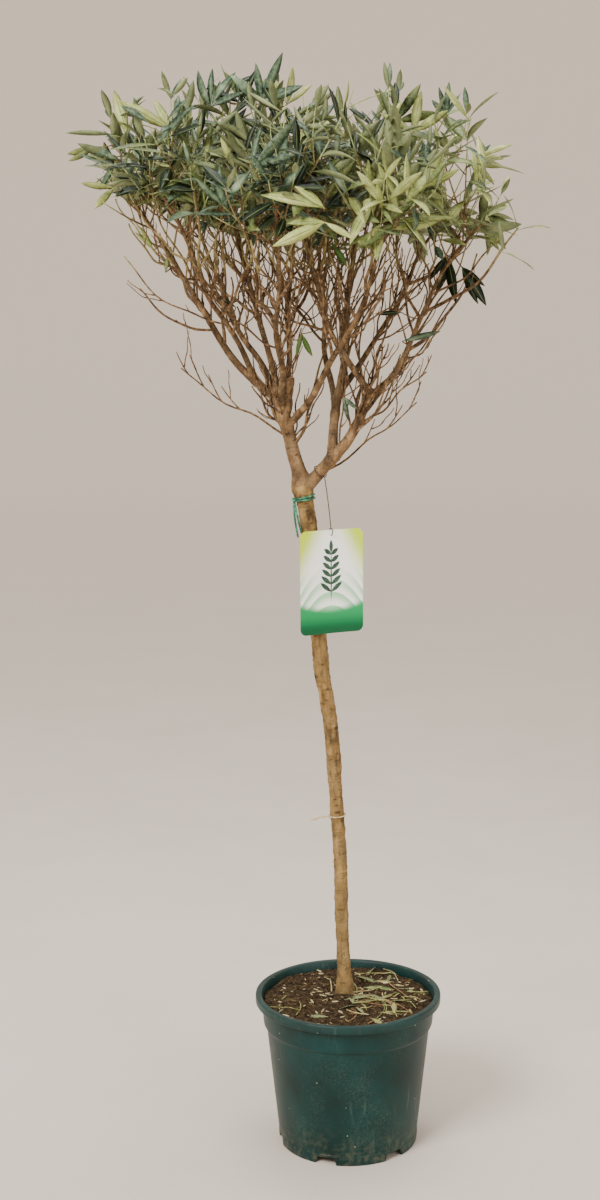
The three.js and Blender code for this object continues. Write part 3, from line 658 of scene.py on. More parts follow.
def new_group(name, inputs, outputs):
    """An empty shader group with named inputs and outputs, and the wires to fill it."""
    group = bpy.data.node_groups.new(name, "ShaderNodeTree")
    for side, sockets in (("INPUT", inputs), ("OUTPUT", outputs)):
        for title, kind in sockets.items():
            group.interface.new_socket(name=title, in_out=side, socket_type="NodeSocket" + kind)
    wires = Wires(group)
    return group, wires, wires.add("NodeGroupInput").outputs, wires.add("NodeGroupOutput").inputs


def make_tone_group():
    """Colour in three tones and a height, both from one layered noise: dark hollows, pale swells."""
    group, wires, given, out = new_group(
        "mottled_tone",
        {"Vector": "Vector", "Scale": "Float", "Dark": "Color", "Middle": "Color", "Light": "Color"},
        {"Color": "Color", "Height": "Float"},
    )
    coarse = wires.noise(given["Vector"], given["Scale"], detail=6, roughness=0.62)
    lower = wires.mix(wires.span(coarse, 0.34, 0.53), given["Dark"], given["Middle"])
    whole = wires.mix(wires.span(coarse, 0.5, 0.72), lower, given["Light"])
    wires.put(out["Color"], whole)
    wires.put(out["Height"], coarse)
    return group


def make_dust_group():
    """Dust over a colour: fine noise within broad patches,
    thinned by the amount, with a mask of where it lies."""
    group, wires, given, out = new_group(
        "settled_dust",
        {"Vector": "Vector", "Color": "Color", "Dust": "Color", "Amount": "Float"},
        {"Color": "Color", "Mask": "Float"},
    )
    broad = wires.span(wires.noise(given["Vector"], 14.0, 3), 0.38, 0.72)
    fine = wires.span(wires.noise(given["Vector"], 420.0, 3), 0.42, 0.7)
    mask = wires.times(wires.times(broad, fine), given["Amount"])
    wires.put(out["Color"], wires.mix(mask, given["Color"], given["Dust"]))
    wires.put(out["Mask"], mask)
    return group


def make_speck_group():
    """Small round marks: one where the distance to a scattered
    point is under the size, at some of the points."""
    group, wires, given, out = new_group(
        "scattered_specks",
        {"Vector": "Vector", "Scale": "Float", "Size": "Float"},
        {"Mask": "Float"},
    )
    cells = wires.add("ShaderNodeTexVoronoi", Vector=given["Vector"], Scale=given["Scale"])
    near = wires.math("LESS_THAN", cells.outputs["Distance"], given["Size"])
    chance = wires.add("ShaderNodeSeparateColor", Color=cells.outputs["Color"]).outputs["Red"]
    chosen = wires.math("GREATER_THAN", chance, 0.6)
    wires.put(out["Mask"], wires.times(near, chosen))
    return group


TONE_GROUP = make_tone_group()
DUST_GROUP = make_dust_group()
SPECK_GROUP = make_speck_group()


def colour(red, green, blue):
    """A colour given as it looks on a screen, from 0 to 255, as the linear value that a shader takes."""
    shares = np.array([red, green, blue]) / 255
    linear = np.where(shares <= 0.04045, shares / 12.92, ((shares + 0.055) / 1.055) ** 2.4)
    return (*linear.tolist(), 1.0)


class Finish(Wires):
    """A material's own wires: they lead from its place, in object coordinates, to its shader."""

    def __init__(self, name, roughness, specular):
        self.material = bpy.data.materials.new(name)
        self.material.use_nodes = True
        super().__init__(self.material.node_tree)
        self.shader = self.tree.nodes["Principled BSDF"].inputs
        self.put(self.shader["Roughness"], roughness)
        self.put(self.shader["Specular IOR Level"], specular)
        self.place = self.add("ShaderNodeTexCoord").outputs["Object"]

    def paint(self, value):
        self.put(self.shader["Base Color"], value)

    def bump(self, height, distance, strength):
        node = self.add("ShaderNodeBump", Height=height, Distance=distance, Strength=strength)
        self.put(self.shader["Normal"], node.outputs["Normal"])


def tone(wires, vector, scale, tones):
    """The mottled tone group placed with its dark, middle and light tones."""
    dark, middle, light = (colour(*each) for each in tones)
    return wires.group(TONE_GROUP, Vector=vector, Scale=scale, Dark=dark, Middle=middle, Light=light)


def dust(wires, vector, under, over, amount):
    """The settled dust group placed over a colour."""
    return wires.group(DUST_GROUP, Vector=vector, Color=under, Dust=over, Amount=amount)


def specks(wires, vector, scale, size):
    """The mask of the scattered specks group, placed at a scale."""
    return wires.group(SPECK_GROUP, Vector=vector, Scale=scale, Size=size)["Mask"]


def bark_material(name, tones, worn_tone):
    """Bark: mottled along its length, worn paler in patches and low down,
    with dark shades and cracks across it, pin marks, dust, darker just
    above the compost, and dark knots, over a bump of fine grain and wrinkles."""
    wires = Finish(name, 0.82, 0.25)
    place = wires.place
    stretched = wires.stretch(place, (1, 1, 0.35))
    base = tone(wires, stretched, 90.0, tones)
    height = wires.height(place)
    patches = wires.span(wires.noise(place, 22.0, 3), 0.42, 0.66)
    smooth = wires.math("MAXIMUM", patches, wires.span(height, 0.6, 0.3))
    worn = wires.mix(wires.times(smooth, 0.4), base["Color"], colour(*worn_tone))
    shades = wires.span(wires.noise(wires.stretch(place, (1, 1, 0.7)), 74.0, 5), 0.53, 0.72)
    cracks = wires.span(wires.noise(wires.stretch(place, (0.3, 0.3, 2.4)), 130.0, 4), 0.57, 0.69)
    shaded = wires.mix(wires.times(wires.math("MAXIMUM", shades, cracks), 0.58), worn, colour(*tones[0]))
    pins = specks(wires, place, 260.0, 0.17)
    marked = wires.mix(wires.times(pins, 0.55), shaded, colour(84, 58, 38))
    dusted = dust(wires, place, marked, colour(190, 166, 130), 0.3)["Color"]
    # Darker, towards a dark brown, over the last two centimetres or so above the compost.
    darker_at_foot = wires.mix(wires.span(height, 0.214, 0.192, 0.0, 0.65), dusted, colour(62, 50, 30))
    wires.paint(wires.mix(wires.attribute("knot"), darker_at_foot, colour(46, 28, 16)))
    wrinkles = wires.noise(wires.stretch(place, (0.25, 0.25, 2.2)), 240.0, 3)
    relief = wires.math("ADD", wires.noise(stretched, 520.0, 5), wires.times(wrinkles, 0.6))
    wires.bump(relief, 0.0011, 0.85)
    return wires.material


def twig_material(name, tones, roughness):
    """Thin bark: one mottled tone with a fine bump."""
    wires = Finish(name, roughness, 0.3)
    place = wires.place
    wires.paint(tone(wires, place, 130.0, tones)["Color"])
    wires.bump(wires.noise(place, 900.0, 3), 0.0002, 0.5)
    return wires.material


def leaf_material(name, tones, roughness, bump):
    """Leaf skin: a broad drift of tone over many leaves, a fine one within each, and a leathery grain."""
    wires = Finish(name, roughness, 0.26)
    place = wires.place
    base = tone(wires, place, 26.0, tones)
    fine = wires.span(wires.noise(place, 240.0, 3), 0.4, 0.7, 0.0, 0.34)
    wires.paint(wires.mix(fine, base["Color"], colour(*tones[2])))
    wires.bump(wires.noise(place, 1100.0, 2), bump, 0.5)
    return wires.material


def pot_material():
    """Dark green plastic: half matt, scuffed in upright streaks,
    dusty, with a dirty foot, a painted highlight on its rim and pale specks."""
    wires = Finish("pot_plastic", 0.42, 0.24)
    place = wires.place
    base = tone(wires, place, 12.0, [(2, 33, 31), (3, 43, 41), (7, 54, 51)])
    streaks = wires.span(wires.noise(wires.stretch(place, (1, 1, 0.09)), 150.0, 4), 0.56, 0.78)
    patches = wires.span(wires.noise(place, 9.0, 2), 0.44, 0.66)
    scuffs = wires.times(wires.times(streaks, patches), 0.5)
    scuffed = wires.mix(scuffs, base["Color"], colour(92, 110, 98))
    dusted = dust(wires, place, scuffed, colour(88, 98, 84), 0.28)
    height = wires.height(place)
    splashes = wires.span(wires.noise(place, 120.0, 5), 0.4, 0.75)
    low = wires.times(wires.span(height, 0.06, 0.0), splashes)
    dirty = wires.mix(wires.times(low, 0.6), dusted["Color"], colour(96, 92, 72))
    # A painted highlight: the top of the rim a little paler, as where the light catches it.
    rim_highlighted = wires.mix(wires.times(wires.span(height, 0.188, 0.2), 0.1), dirty, colour(76, 98, 94))
    spotted = wires.mix(specks(wires, place, 75.0, 0.045), rim_highlighted, colour(214, 210, 190))
    wires.paint(spotted)
    wires.put(wires.shader["Roughness"], wires.math("ADD", wires.times(dusted["Mask"], 0.5), 0.4))
    wires.bump(wires.noise(place, 700.0, 4), 0.00015, 0.5)
    return wires.material


def compost_material():
    """Dark crumbly compost: three browns at two sizes under a deep grain."""
    wires = Finish("compost", 0.95, 0.15)
    place = wires.place
    base = tone(wires, place, 150.0, [(18, 13, 6), (57, 44, 27), (104, 85, 58)])
    fine = wires.span(wires.noise(place, 620.0, 4), 0.54, 0.76, 0.0, 0.55)
    wires.paint(wires.mix(fine, base["Color"], colour(112, 94, 64)))
    wires.bump(wires.noise(place, 420.0, 6, 0.7), 0.0022, 0.9)
    return wires.material


def fibre_material(name, tones, scale, roughness):
    """A plain fibrous finish: mottled tone and a fine bump."""
    wires = Finish(name, roughness, 0.25)
    place = wires.place
    base = tone(wires, place, scale, tones)
    wires.paint(base["Color"])
    wires.bump(base["Height"], 0.0004, 0.7)
    return wires.material


def tie_material():
    """Glossy green plastic coating, a little scuffed."""
    wires = Finish("tie_plastic", 0.32, 0.5)
    place = wires.place
    base = tone(wires, place, 160.0, [(8, 54, 38), (24, 100, 68), (92, 172, 134)])
    wires.paint(base["Color"])
    wires.bump(base["Height"], 0.0002, 0.4)
    return wires.material


def card_material():
    """Printed card: yellow-green top corners fading to white, pale green bows, and a deep green foot."""
    wires = Finish("printed_card", 0.5, 0.2)
    place = wires.place
    across = wires.attribute("card_across")
    up = wires.attribute("card_up")
    centred = wires.math("ABSOLUTE", wires.math("SUBTRACT", across, 0.5), 0.0)
    corner = wires.math("ADD", wires.times(centred, 1.3), up)
    top = wires.mix(wires.span(corner, 0.98, 1.5), colour(255, 255, 248), colour(194, 220, 24))
    rise = wires.times(wires.times(centred, centred), 1.1)
    wave = wires.math("FRACT", wires.times(wires.math("ADD", up, rise), 7.5), 0.0)
    band = wires.times(wires.span(wave, 0.15, 0.9), wires.span(up, 0.66, 0.36))
    bows = wires.mix(wires.times(band, 0.8), top, colour(120, 200, 136))
    foot = wires.span(wires.math("SUBTRACT", up, wires.times(rise, 0.22)), 0.27, 0.19)
    green = wires.mix(wires.span(up, 0.22, 0.03), colour(6, 150, 82), colour(0, 84, 46))
    wires.paint(wires.mix(foot, bows, green))
    wires.bump(wires.noise(place, 500.0, 2), 0.00004, 0.3)
    return wires.material


def floor_material():
    """The plain pale ground, a little paler far away, where the lamps reach it less."""
    wires = Finish("pale_ground", 0.9, 0.1)
    place = wires.place
    base = tone(wires, place, 3.0, [(214, 202, 188), (217, 205, 191), (220, 208, 194)])
    away = wires.add("ShaderNodeVectorMath", {"operation": "LENGTH"}, Vector=place).outputs["Value"]
    far = wires.mix(wires.span(away, 1.5, 7.0), base["Color"], colour(255, 245, 232))
    wires.paint(far)
    return wires.material


BARKS = {
    "trunk": bark_material("trunk_bark", [(56, 40, 16), (124, 95, 52), (170, 138, 84)], (150, 124, 78)),
    "leader": bark_material("leader_bark", [(52, 36, 19), (108, 80, 50), (162, 130, 90)], (140, 114, 80)),
    "bough": bark_material("bough_bark", [(42, 28, 14), (92, 67, 40), (152, 122, 84)], (126, 102, 72)),
}
SAWN = fibre_material("sawn_wood", [(92, 66, 46), (128, 98, 70), (150, 122, 92)], 300.0, 0.9)
TWIG_FINISHES = [
    twig_material("twig_brown", [(50, 34, 18), (98, 73, 45), (152, 122, 84)], 0.8),
    twig_material("twig_olive", [(82, 66, 36), (122, 104, 62), (158, 142, 94)], 0.7),
    twig_material("twig_green", [(132, 138, 82), (156, 160, 104), (176, 180, 126)], 0.6),
]
BROWN, OLIVE, GREEN = range(3)
LEAF_FINISHES = [leaf_material(name, tones, roughness, 0.0001) for name, *tones, roughness in TINTS] + [
    leaf_material("leaf_underside", [(96, 106, 70), (124, 132, 90), (152, 158, 114)], 0.75, 0.0002),
    leaf_material("leaf_midrib", [(80, 94, 54), (98, 110, 66), (120, 130, 84)], 0.6, 0.0001),
    leaf_material("leaf_dry", [(124, 120, 66), (160, 156, 96), (196, 190, 136)], 0.8, 0.0002),
]


class TrunkLine:
    """A Catmull-Rom curve through its rows: a cubic on each
    span, whose end slopes are half the span about them."""

    across = RIGHT

    def __init__(self, rows):
        knots = np.array([[x, y, height] for height, x, y in rows], float)
        self.knots = np.concatenate([[2 * knots[0] - knots[1]], knots, [2 * knots[-1] - knots[-2]]])

    def points(self, t):
        spans = len(self.knots) - 3
        place = np.clip(np.asarray(t, float) * spans, 0, spans)
        index = np.minimum(np.floor(place).astype(int), spans - 1)
        part = (place - index)[..., None]
        before, start, end, after = (self.knots[index + step] for step in range(4))
        return hermite(start, end, (end - before) / 2, (after - start) / 2, part)


class LimbLine:
    """A cubic from foot to tip, started and ended at the given
    leans, with a seeded wander that dies at its ends."""

    def __init__(self, foot, tip, lean, wander, seed):
        self.foot = foot
        self.tip = np.array(tip, float)
        self.wander = wander
        heading = unit((self.tip - foot) * [1, 1, 0])
        self.across = np.array([-heading[1], heading[0], 0])
        reach = np.linalg.norm(self.tip - foot)
        self.start, self.end = (
            reach * (heading * math.sin(math.radians(degrees)) + UP * math.cos(math.radians(degrees)))
            for degrees in lean
        )
        draw = seeded_row(seed)
        self.phase = [draw(), draw()]

    def points(self, t):
        part = np.asarray(t, float)[..., None]
        fade = self.wander * np.sin(np.pi * part)
        aside, upward = (
            fade * np.sin(2 * np.pi * (turns * part + phase))
            for turns, phase in zip(LIMB["sway_turns"], self.phase)
        )
        curve = hermite(self.foot, self.tip, self.start, self.end, part)
        return curve + self.across * aside + UP * upward / 2


def hermite(start, end, start_slope, end_slope, part):
    """The cubic between two points with a given slope at each."""
    return (
        (1 + 2 * part) * (1 - part) ** 2 * start
        + part**2 * (3 - 2 * part) * end
        + part * (1 - part) ** 2 * start_slope
        + part**2 * (part - 1) * end_slope
    )


def tangent_at(line, t):
    """The direction of a line at a share of its length, from the points just before and after."""
    reach = 1e-4
    return unit(line.points(min(t + reach, 1.0)) - line.points(max(t - reach, 0.0)))


def length_of(line):
    """The summed length of two hundred short chords."""
    chords = np.diff(line.points(np.linspace(0, 1, READINGS["length"])), axis=0)
    return float(np.linalg.norm(chords, axis=1).sum())


def trunk_radius(t):
    """A slow swelling up to the fork, and a flare that dies away upwards from the ground."""
    height = np.maximum(0, trunk_line.points(t)[..., 2] - SOIL["top"])
    share = height / (TRUNK_LINE[-1][0] - SOIL["top"])
    taper = lerp(TRUNK["foot_radius"], TRUNK["fork_radius"], share ** TRUNK["taper_power"])
    return taper + TRUNK["flare"] * np.exp(-height / TRUNK["flare_height"])


def limb_radius(line, girth):
    """A taper from foot to tip by a power of the length, and a collar that dies away from the foot."""
    foot, tip = girth
    length = length_of(line)
    collar_length = LIMB["collar_reach"] * foot

    def radius(t):
        t = np.asarray(t, float)
        taper = lerp(foot, tip, t ** LIMB["taper_power"])
        return taper + foot * LIMB["collar"] * np.exp(-t * length / collar_length)

    return radius


trunk_line = TrunkLine(TRUNK_LINE)
limbs = {"trunk": {"line": trunk_line, "radius": trunk_radius, "parent": None}}
for limb_seed, (limb_name, parent, at, tip, lean, girth) in enumerate(LIMB_ROWS, 1):
    limb_line = LimbLine(limbs[parent]["line"].points(at), tip, lean, LIMB["wander"], limb_seed)
    limbs[limb_name] = {
        "line": limb_line,
        "radius": limb_radius(limb_line, girth),
        "parent": parent,
        "tip_radius": girth[1],
    }

# Points along every limb with its radius there, against which twigs and leaves are tested.
SAMPLE_SHARES = np.linspace(0, 1, READINGS["clearance"])
LIMB_POINTS = np.concatenate([limb["line"].points(SAMPLE_SHARES) for limb in limbs.values()])
LIMB_RADII = np.concatenate([limb["radius"](SAMPLE_SHARES) for limb in limbs.values()])


def fillet_lift(points, others, reach):
    """How far a surface rises where it meets others: a quarter
    of the reach at the crease, and none a reach away."""
    shares = np.linspace(0, 1, READINGS["joint"])
    nearest = np.full(len(points), np.inf)
    for other in others:
        centres = other["line"].points(shares)
        gaps = np.linalg.norm(points[:, None] - centres, axis=-1) - other["radius"](shares)
        nearest = np.minimum(nearest, gaps.min(axis=1))
    closeness = np.clip(1 - np.abs(nearest) / reach, 0, 1)
    return closeness**2 * reach / 4


def limb_surface(limb, others, kind, knots, start, end_style, seed):
    """A limb's tube with rings square to its line, and the knot value of each point.
    The radius gains the bark's relief, a fillet where it meets other limbs, and a lump
    with a hollow at each knot, each falling off by the square of the distance from it.
    A domed end narrows as a quarter circle, and a sawn one shows its wood."""
    sides, spacing, relief = BARK_MESH[kind]
    line = limb["line"]
    length = length_of(line)
    t = np.linspace(start, 1, math.ceil(length / spacing) + 1)
    narrowing = np.ones(len(t))
    if end_style == "dome":
        dome = limb["tip_radius"] / length
        bend = np.sin(np.linspace(0, math.pi / 2, BARK["dome_rings"]))
        t = np.concatenate([t[t < 1 - dome], 1 - dome + dome * bend])
        narrowing = np.sqrt(1 - np.clip((t - (1 - dome)) / dome, 0, 0.995) ** 2)
    path = line.points(t)
    radius = limb["radius"](t) * narrowing
    along = run_along(path)
    normals, asides = ring_frames(path, line.across)
    angles = np.linspace(0, 2 * np.pi, sides, endpoint=False)
    rays = np.cos(angles)[:, None] * normals[:, None] + np.sin(angles)[:, None] * asides[:, None]
    middle = float(np.median(radius))
    circle = middle * np.stack([np.cos(angles), np.sin(angles)], axis=-1)
    round_place = np.broadcast_to(circle, (len(t), sides, 2))
    along_place = np.broadcast_to(along[:, None, None] * BARK["drawn_out"], (len(t), sides, 1))
    place = np.concatenate([round_place, along_place], axis=-1)
    lift = relief * sum(
        layered_noise(place / size, seed + offset, layers) * strength
        for size, offset, layers, strength in BARK_NOISES
    )
    plain = path[:, None] + rays * radius[:, None, None]
    lift += fillet_lift(plain.reshape(-1, 3), others, BARK["fillet"] * middle).reshape(lift.shape)
    mask = np.zeros(lift.shape)
    for knot_along, knot_angle, width, height in knots:
        turn = (angles - knot_angle + np.pi) % (2 * np.pi) - np.pi
        lengthwise = ((along[:, None] - knot_along) / width) ** 2
        crosswise = (radius[:, None] * turn / (KNOT["breadth"] * width)) ** 2
        square = lengthwise + crosswise
        hollow = KNOT["hollow"] * np.exp(-KNOT["hollow_fall"] * square)
        lift += height * (np.exp(-KNOT["lump_fall"] * square) - hollow)
        mask = np.maximum(mask, np.exp(-KNOT["slit_fall"] * (4 * lengthwise + crosswise)))
    shell = plain + rays * (lift * narrowing[:, None])[..., None]
    quads, tris = capped_ring_faces(len(t), sides)
    tri_finish = np.zeros(len(tris), int)
    if end_style == "sawn":
        tri_finish[sides:] = 1
    points = np.concatenate([shell.reshape(-1, 3), path[:1], path[-1:]])
    return Surface(points, quads, tris, 0, tri_finish), np.concatenate([mask.ravel(), [0, 0]])


def trunk_place(height):
    """Where a height lies on the trunk's line: its share of the line, and its distance along it."""
    shares = np.linspace(0, 1, READINGS["height"])
    points = trunk_line.points(shares)
    return np.interp(height, points[:, 2], shares), np.interp(height, points[:, 2], run_along(points))


def limb_knots(name, length, seed):
    """A limb's knots as [distance along, angle, width, height of the lump].
    Those of the trunk and the leaders are listed, and the others are
    dealt: one in each spacing, about the golden angle from the one before."""
    if name == "trunk":
        foot = trunk_place(TRUNK["bark_foot"])[1]
        return [
            [trunk_place(height)[1] - foot, math.radians(angle), width, lump]
            for height, angle, width, lump in TRUNK_KNOTS
        ]
    if name in LEADER_KNOTS:
        return [
            [share * length, math.radians(angle), width, lump]
            for share, angle, width, lump in LEADER_KNOTS[name]
        ]
    draw = seeded_row(seed)
    count = int(length / KNOT["spacing"])
    return [
        [
            length * (index + lerp(*KNOT["room"], draw())) / count,
            index * GOLDEN_ANGLE + draw(),
            lerp(*KNOT["width"], draw()),
            lerp(*KNOT["height"], draw()),
        ]
        for index in range(count)
    ]


def make_limbs():
    """The trunk, leaders and boughs, each a piece of its own
    in its kind's bark, blended into those it meets."""
    for index, (name, limb) in enumerate(limbs.items()):
        kind = next(kind for kind in BARKS if kind in name)
        others = [
            other
            for key, other in limbs.items()
            if key != name and (key == limb["parent"] or other["parent"] in (name, limb["parent"]))
        ]
        knots = limb_knots(name, length_of(limb["line"]), SEEDS["knot"] + index)
        start = trunk_place(TRUNK["bark_foot"])[0] if name == "trunk" else 0
        seed = SEEDS["bark"] + BARK["seed_step"] * index
        surface, mask = limb_surface(limb, others, kind, knots, start, LIMB_ENDS.get(name), seed)
        piece = make_piece(name + "_bark", surface, [BARKS[kind], SAWN], [name], SHARP["bark"])
        set_values(piece, "knot", mask)


TWIG_STEPS = np.linspace(0, 1, 15)
SWELLING = {"share": 0.22, "power": 6}


class Growth:
    """What has grown so far: twigs as paths with radii and
    finishes, and leaves as rows of their own measures."""

    def __init__(self):
        self.paths = []
        self.radii = []
        self.finishes = []
        self.leaves = []

    def add_twig(self, path, girth, finish, swellings=0):
        wave = np.maximum(0, np.sin(2 * np.pi * swellings * TWIG_STEPS))
        swell = SWELLING["share"] * wave ** SWELLING["power"]
        self.paths.append(path)
        self.radii.append(lerp(*girth, TWIG_STEPS) * (1 + swell))
        self.finishes.append(np.broadcast_to(finish, len(TWIG_STEPS) - 1))

    def add_leaf(self, root, along, across, length, tint, draw):
        along = unit(along)
        across = unit(across - along * np.dot(across, along))
        roll = math.radians(LEAF["roll"]) * (2 * draw() - 1)
        self.leaves.append({
            "root": root,
            "along": along,
            "across": turned(across, along, roll),
            "length": length,
            "width": length * lerp(*LEAF["slenderness"], draw()),
            "bend": math.radians(lerp(*LEAF["bend"], draw())),
            "fold": lerp(*LEAF["fold"], draw()),
            "twist": math.radians(lerp(*LEAF["twist"], draw())),
            "tint": tint,
        })

    def twig_surface(self, sides=6):
        paths = np.array(self.paths)
        chords = unit(paths[:, -1] - paths[:, 0])
        helper = np.where(np.abs(chords[:, 2:]) > 0.9, RIGHT, UP)
        toward = unit(np.cross(chords, helper))[:, None]
        surface = tubes(paths, np.array(self.radii), sides, toward)
        finishes = np.array(self.finishes)
        surface.quad_finish = np.repeat(finishes, sides, axis=1).ravel()
        surface.tri_finish = np.repeat(finishes[:, [0, -1]], sides, axis=1).ravel()
        return surface


LEAF_STATIONS = np.array([0, 0.03, 0.06, 0.12, 0.22, 0.36, 0.52, 0.68, 0.82, 0.92, 0.975])


def leaf_blades(leaves):
    """Closed blades, as rings of six points about a bent middle line. The line is an arc of the leaf's
    bend, its root sunk in the wood. The half width is a sine of the share of its length to a power, and
    not less than the stalk's. The edges are raised by the fold, the midrib stands half the thickness
    above and below, which thins towards the tip, and the whole is twisted evenly from root to tip."""
    column = {key: np.array([leaf[key] for leaf in leaves]) for key in leaves[0]}
    shares = np.concatenate([LEAF_STATIONS, [0, 1]])
    length = column["length"][:, None]
    bend = np.where(np.abs(column["bend"]) < 0.01, 0.01, column["bend"])[:, None]
    along, across = column["along"][:, None], column["across"][:, None]
    up = np.cross(along, across)
    arc = bend * shares
    ahead = (length * np.sin(arc) / bend)[..., None] * along
    down = (length * (1 - np.cos(arc)) / bend)[..., None] * up
    middle = column["root"][:, None] + ahead - down - along * LEAF["sunk"]
    local_up = np.cos(arc)[..., None] * up + np.sin(arc)[..., None] * along
    turn = (column["twist"][:, None] * shares)[..., None]
    broad = np.cos(turn) * across + np.sin(turn) * local_up
    thick = np.cos(turn) * local_up - np.sin(turn) * across
    blade = np.clip((shares - LEAF["stalk"]) / (1 - LEAF["stalk"]), 0, 1)
    half = column["width"][:, None] / 2 * np.sin(np.pi * blade ** LEAF["fullest"]) ** LEAF["fullness"]
    stalk = LEAF["stalk_width"] / 2 * np.clip(1 - blade * LEAF["stalk_fade"], LEAF["point_width"], 1)
    half = np.maximum(half, stalk)
    depth = LEAF["thickness"] / 2 * (1 - LEAF["thinning"] * shares)
    rings = len(LEAF_STATIONS)
    aside = np.array([1, LEAF["midrib"], -LEAF["midrib"], -1, -LEAF["midrib"], LEAF["midrib"]])
    level = np.array([0, 1, 1, 0, -1, -1])
    fold = column["fold"][:, None, None] * np.abs(aside) * half[:, :rings, None]
    raised = fold + level * depth[:rings, None]
    shell = (
        middle[:, :rings, None]
        + (half[:, :rings, None] * aside)[..., None] * broad[:, :rings, None]
        + raised[..., None] * thick[:, :rings, None]
    )
    points = np.concatenate([shell.reshape(len(leaves), -1, 3), middle[:, rings:]], axis=1)
    tint = column["tint"]
    under = np.where(tint == DRY, DRY, UNDERSIDE)
    rib = np.where(tint == DRY, DRY, MIDRIB)
    finish = np.stack([tint, rib, tint, under, under, under], axis=-1)
    quad_finish, tri_finish = (np.tile(finish, (1, times)).ravel() for times in (rings - 1, 2))
    return copied(points, *capped_ring_faces(rings, len(aside)), quad_finish, tri_finish)


masses = []
for bough_name, limb in limbs.items():
    if bough_name.startswith("bough_"):
        bough_tip = limb["line"].points(1.0)
        masses.append({
            "name": bough_name.replace("bough_", "foliage_"),
            "tip": bough_tip,
            "tip_radius": limb["tip_radius"],
            "tangent": tangent_at(limb["line"], 1.0),
            "home": lerp(CROWN_CENTRE, bough_tip[:2], MASS["home_spread"]),
            "shoots": [],
        })


def depth_in_space(mass, point):
    """How far a point lies inside a mass's own space, from
    the nearest upright plane halfway to another's home."""

    def square(other):
        return float(np.sum((other["home"] - point[:2]) ** 2))

    return min(
        (square(other) - square(mass)) / (2 * np.linalg.norm(other["home"] - mass["home"]))
        for other in masses
        if other is not mass
    )


def clear_of_limbs(point):
    """Whether a point is farther from every limb's middle than its radius and the margin."""
    gaps = np.linalg.norm(LIMB_POINTS - point, axis=1) - LIMB_RADII
    return gaps.min() > MASS["limb_margin"]


def from_crown_centre(point):
    """How far a point lies from the upright line through the crown's centre."""
    return math.hypot(point[0] - CROWN["x"], point[1] - CROWN["y"])


def inside_crown(point):
    """Whether a point keeps within the crown's reach: a wide drum under its highest tips."""
    low = point[2] < CROWN["top"] + CROWN["headroom"]
    return low and from_crown_centre(point) < CROWN["radius"] + CROWN["overhang"]


def before_sky(point):
    """Whether a point, seen from the photograph's eye, lies in one of the crown's openings."""
    seen = EYE + (point - EYE) * EYE[1] / (EYE[1] - point[1])
    offsets = (seen[[0, 2]] - OPENINGS[:, :2]) / OPENINGS[:, 2:]
    return np.sum(offsets**2, axis=1).min() < 1


def may_bear_leaf(point):
    """Whether a leaf may lie at a point: above the crown's
    ragged lower edge, and in none of its openings."""
    return point[2] > np.interp(point[0], LOWER_EDGE["x"], LOWER_EDGE["height"]) and not before_sky(point)


def inside_cone(point):
    """Whether a bare branchlet's end keeps within the cone that the boughs spread in."""
    cone = BRANCHLET["cone"]
    aside = math.hypot(point[0] - cone["x"], point[1])
    return aside < cone["radius"] + cone["slope"] * (point[2] - cone["height"])


def shoot_end(index):
    """A shoot's end: on a sunflower's spiral seen from
    above, in one of the layers under the crown's top."""
    draw = seeded_row(SEEDS["shoot_end"] + index)
    share = math.sqrt((index + 0.5) / CROWN["shoots"])
    layer = index % CROWN["layers"]
    extra = 0 if index % SHOOT["extra_every"] else SHOOT["extra"]
    depth = CROWN["drop"] * share ** CROWN["drop_power"]
    depth += layer * lerp(CROWN["layer_step"], CROWN["edge_step"], share)
    x = CROWN["x"] + CROWN["radius"] * share * math.cos(index * GOLDEN_ANGLE)
    y = CROWN["y"] + CROWN["radius"] * share * math.sin(index * GOLDEN_ANGLE)
    return np.array([x, y, CROWN["top"] + extra - depth - SHOOT["ragged"] * draw()])


for shoot_index in range(CROWN["shoots"]):
    end_point = shoot_end(shoot_index)
    home_mass = next(mass for mass in masses if depth_in_space(mass, end_point) >= 0)
    home_mass["shoots"].append((end_point, SEEDS["shoot"] + shoot_index))


def mass_stem(mass):
    """The stem that carries on from the bough's tip, turning
    up and a little outwards, as a curve's three points."""
    foot = mass["tip"] + mass["tangent"] * GAP
    outward = np.append(mass["home"] - CROWN_CENTRE, 0)
    head = foot + outward * MASS["outward"] + UP * MASS["rise"]
    return foot, foot + mass["tangent"] * MASS["rise"] / 2, head


def shoot_controls(stem, end, draw):
    """A shoot leaves the stem, the higher the higher it ends, runs outwards and turns up to its end."""
    height = np.clip((end[2] - CROWN["top"] + SHOOT["reach"]) / SHOOT["reach"], 0, 1)
    foot = bezier(stem, lerp(*SHOOT["foot"], height) * lerp(SHOOT["foot_drop"], 1, draw()))
    knee = lerp(foot, end, SHOOT["knee"])
    knee[2] = lerp(foot[2], end[2], SHOOT["knee_rise"])
    return foot, knee, end


def bezier_tangent(controls, t):
    """The direction of a quadratic curve: its slope, which
    runs evenly from foot-to-knee to knee-to-head."""
    foot, knee, head = controls
    return unit(lerp(knee - foot, head - knee, t))


def side_direction(axis, turn):
    """A direction square to the axis, turned about it."""
    return turned(unit(np.cross(RIGHT, axis)), axis, turn)


